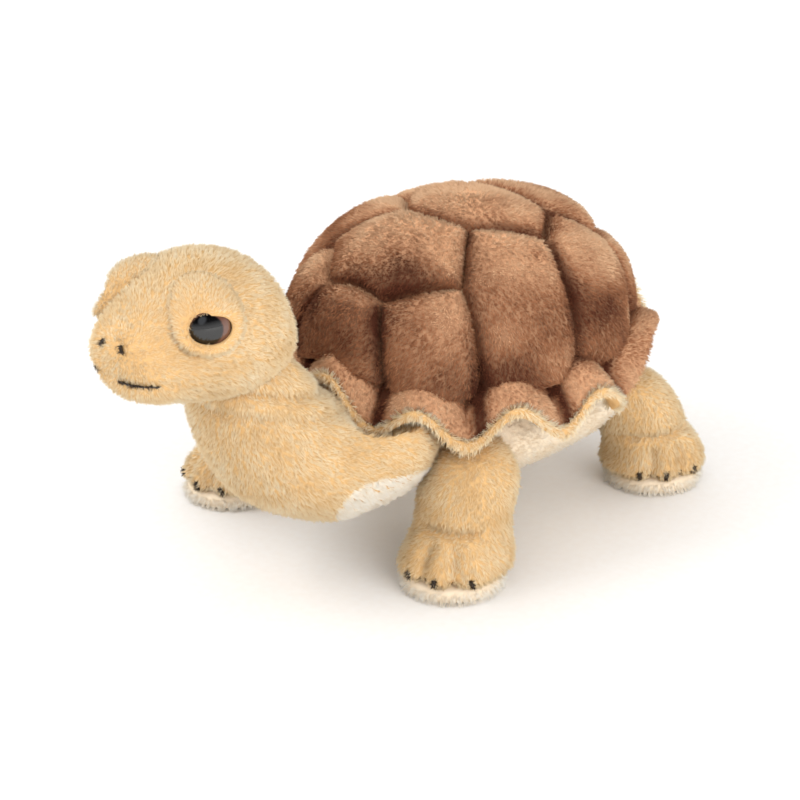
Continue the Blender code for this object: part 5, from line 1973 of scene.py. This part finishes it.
@dataclass
class Studio:
    """A plain pale floor, soft light and the photograph's camera."""

    layout: Layout
    target: Triple = (-14.1, -15.0, 32.0)
    azimuth: float = 42.0
    elevation: float = 24.0
    distance: float = 727.6
    lens: float = 109.0
    floor_size: float = 6.0
    window: Pair = (45.0, 26.0)
    lamps: tuple[tuple[str, float, float, float, float, float], ...] = (
        ("key", -30.0, 42.0, 1.1, 0.5, 3.8), ("fill", 72.0, 20.0, 1.3, 0.9, 8.0))

    def toward(self, azimuth: float, elevation: float) -> Array:
        """The direction from the toy at an azimuth and elevation: (sin a cos e, -cos a cos e, sin e)."""
        a, e = math.radians(azimuth), math.radians(elevation)
        return np.array((math.sin(a) * math.cos(e), -math.cos(a) * math.cos(e), math.sin(e)))

    def aim(self, thing: bpy.types.Object, place: Array, at: Array) -> None:
        """Put a camera or lamp somewhere and turn it to a point, both in metres."""
        thing.location = place.tolist()
        thing.rotation_euler = Vector((at - place).tolist()).to_track_quat("-Z", "Y").to_euler()
        bpy.context.scene.collection.objects.link(thing)

    def camera(self) -> None:
        """Set the camera up as the photograph's was found to stand."""
        at = self.layout.to_row(np.array(self.target))
        data = bpy.data.cameras.new("photo_camera")
        data.lens = self.lens
        data.sensor_width = 36.0
        data.clip_start = 0.01
        data.clip_end = 50.0
        camera = bpy.data.objects.new("photo_camera", data)
        self.aim(camera, at + self.toward(self.azimuth, self.elevation) * self.distance * MM, at)
        bpy.context.scene.camera = camera

    def lamp(self, name: str, azimuth: float, elevation: float, away: float, size: float, power: float) -> None:
        """Hang one square soft light, its distance and size in metres and its power in watts."""
        data = bpy.data.lights.new(name, "AREA")
        data.size = size
        data.energy = power
        at = self.layout.to_row(np.array((0.0, 0.0, 50.0)))
        lamp = bpy.data.objects.new(name, data)
        lamp.visible_glossy = False
        self.aim(lamp, at + self.toward(azimuth, elevation) * away, at)

    def floor(self) -> None:
        """Lay the pale floor: matt white card, which shows only the faintest grain."""
        material, tree, shader = new_material("matt_white_card")
        place = add_node(tree, "ShaderNodeTexCoord").outputs["Object"]
        grain = add_node(tree, "ShaderNodeTexNoise", {"Vector": place, "Scale": 400.0, "Detail": 2.0})
        colour = add_ramp(tree, grain.outputs["Fac"], [(0.3, "#F8F6F3"), (0.7, "#FAF9F7")])
        feed(tree, shader, {"Base Color": colour, "Roughness": 0.9, "Specular IOR Level": 0.1})
        half = self.floor_size / 2
        corners = np.array(((-half, -half, 0), (half, -half, 0), (half, half, 0), (-half, half, 0)))
        floor = mesh_object("floor", corners, np.array(((0, 1, 2), (0, 2, 3))), material)

    def sky(self) -> None:
        """Light all round: white, and in reflections a white room with a dark ceiling and a soft window."""
        world = bpy.data.worlds.new("studio")
        world.use_nodes = True
        bpy.context.scene.world = world
        tree = world.node_tree
        seen = add_node(tree, "ShaderNodeLightPath").outputs
        shown = seen["Is Camera Ray"]
        for ray in ("Is Glossy Ray", "Is Transmission Ray"):
            either = add_node(tree, "ShaderNodeMath", {0: shown, 1: seen[ray]}, operation="MAXIMUM")
            shown = either.outputs["Value"]
        fill = add_node(tree, "ShaderNodeBackground", {"Color": srgb("#FFFFFF"), "Strength": 1.0})
        way = add_node(tree, "ShaderNodeTexCoord").outputs["Generated"]
        height = add_node(tree, "ShaderNodeSeparateXYZ", {"Vector": way}).outputs["Z"]
        room = add_ramp(tree, height, [(0.02, "#FFFFFF"), (0.3, "#3A3A3E"), (0.6, "#161618")])
        window = tuple(self.toward(*self.window))
        facing = add_node(tree, "ShaderNodeVectorMath", {0: way, 1: window}, operation="DOT_PRODUCT")
        glow = add_ramp(tree, facing.outputs["Value"], [(0.955, "#000000"), (0.985, "#DDE2EA")])
        lit = add_node(tree, "ShaderNodeMix", {0: 1.0, 6: room, 7: glow}, data_type="RGBA", blend_type="ADD")
        plain = add_node(
            tree, "ShaderNodeMix", {"Factor": seen["Is Glossy Ray"], 6: srgb("#FFFFFF"), 7: lit.outputs[2]},
            data_type="RGBA")
        white = add_node(tree, "ShaderNodeBackground", {"Color": plain.outputs[2], "Strength": 1.0})
        mix = add_node(tree, "ShaderNodeMixShader", {
            0: shown, 1: fill.outputs["Background"], 2: white.outputs["Background"]})
        feed(tree, tree.nodes["World Output"], {"Surface": mix.outputs["Shader"]})

    def build(self) -> None:
        """Set the whole studio up."""
        self.camera()
        self.floor()
        self.sky()
        for lamp in self.lamps:
            self.lamp(*lamp)
        bpy.context.scene.view_settings.view_transform = "Standard"
        LOG.info("studio ready")


def main() -> None:
    """Build the turtle's looks from its largest pieces to its smallest."""
    logging.basicConfig(level=logging.INFO, format="%(message)s")
    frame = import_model()
    layout = Layout.from_frame(frame)
    Studio(layout).build()
    shell = QuiltedShell(layout)
    shell.dress()
    brim = RuffledBrim(shell)
    brim.dress()
    head = Head(layout).dress()
    belly, neck = Trunk(layout).dress(head, brim)
    stance = (
        ("front_left", Side.LEFT, (34.0, -38.0, 38.0), (34.0, -43.0), 35.0, 23.0),
        ("front_right", Side.RIGHT, (-34.0, -38.0, 38.0), (-54.0, -43.0), 35.0, 4.0),
        ("rear_left", Side.LEFT, (32.0, 36.0, 35.0), (34.0, 50.0), 34.0, 56.0),
        ("rear_right", Side.RIGHT, (-32.0, 36.0, 35.0), (-44.0, 50.0), 34.0, 56.0),
    )
    for number, (label, side, hip, foot, length, toes) in enumerate(stance):
        Leg(layout, label, side, hip, foot, length, toes, seed=40 + 10 * number).dress([belly, neck])
    washers(frame)


if __name__ == "__main__":
    main()
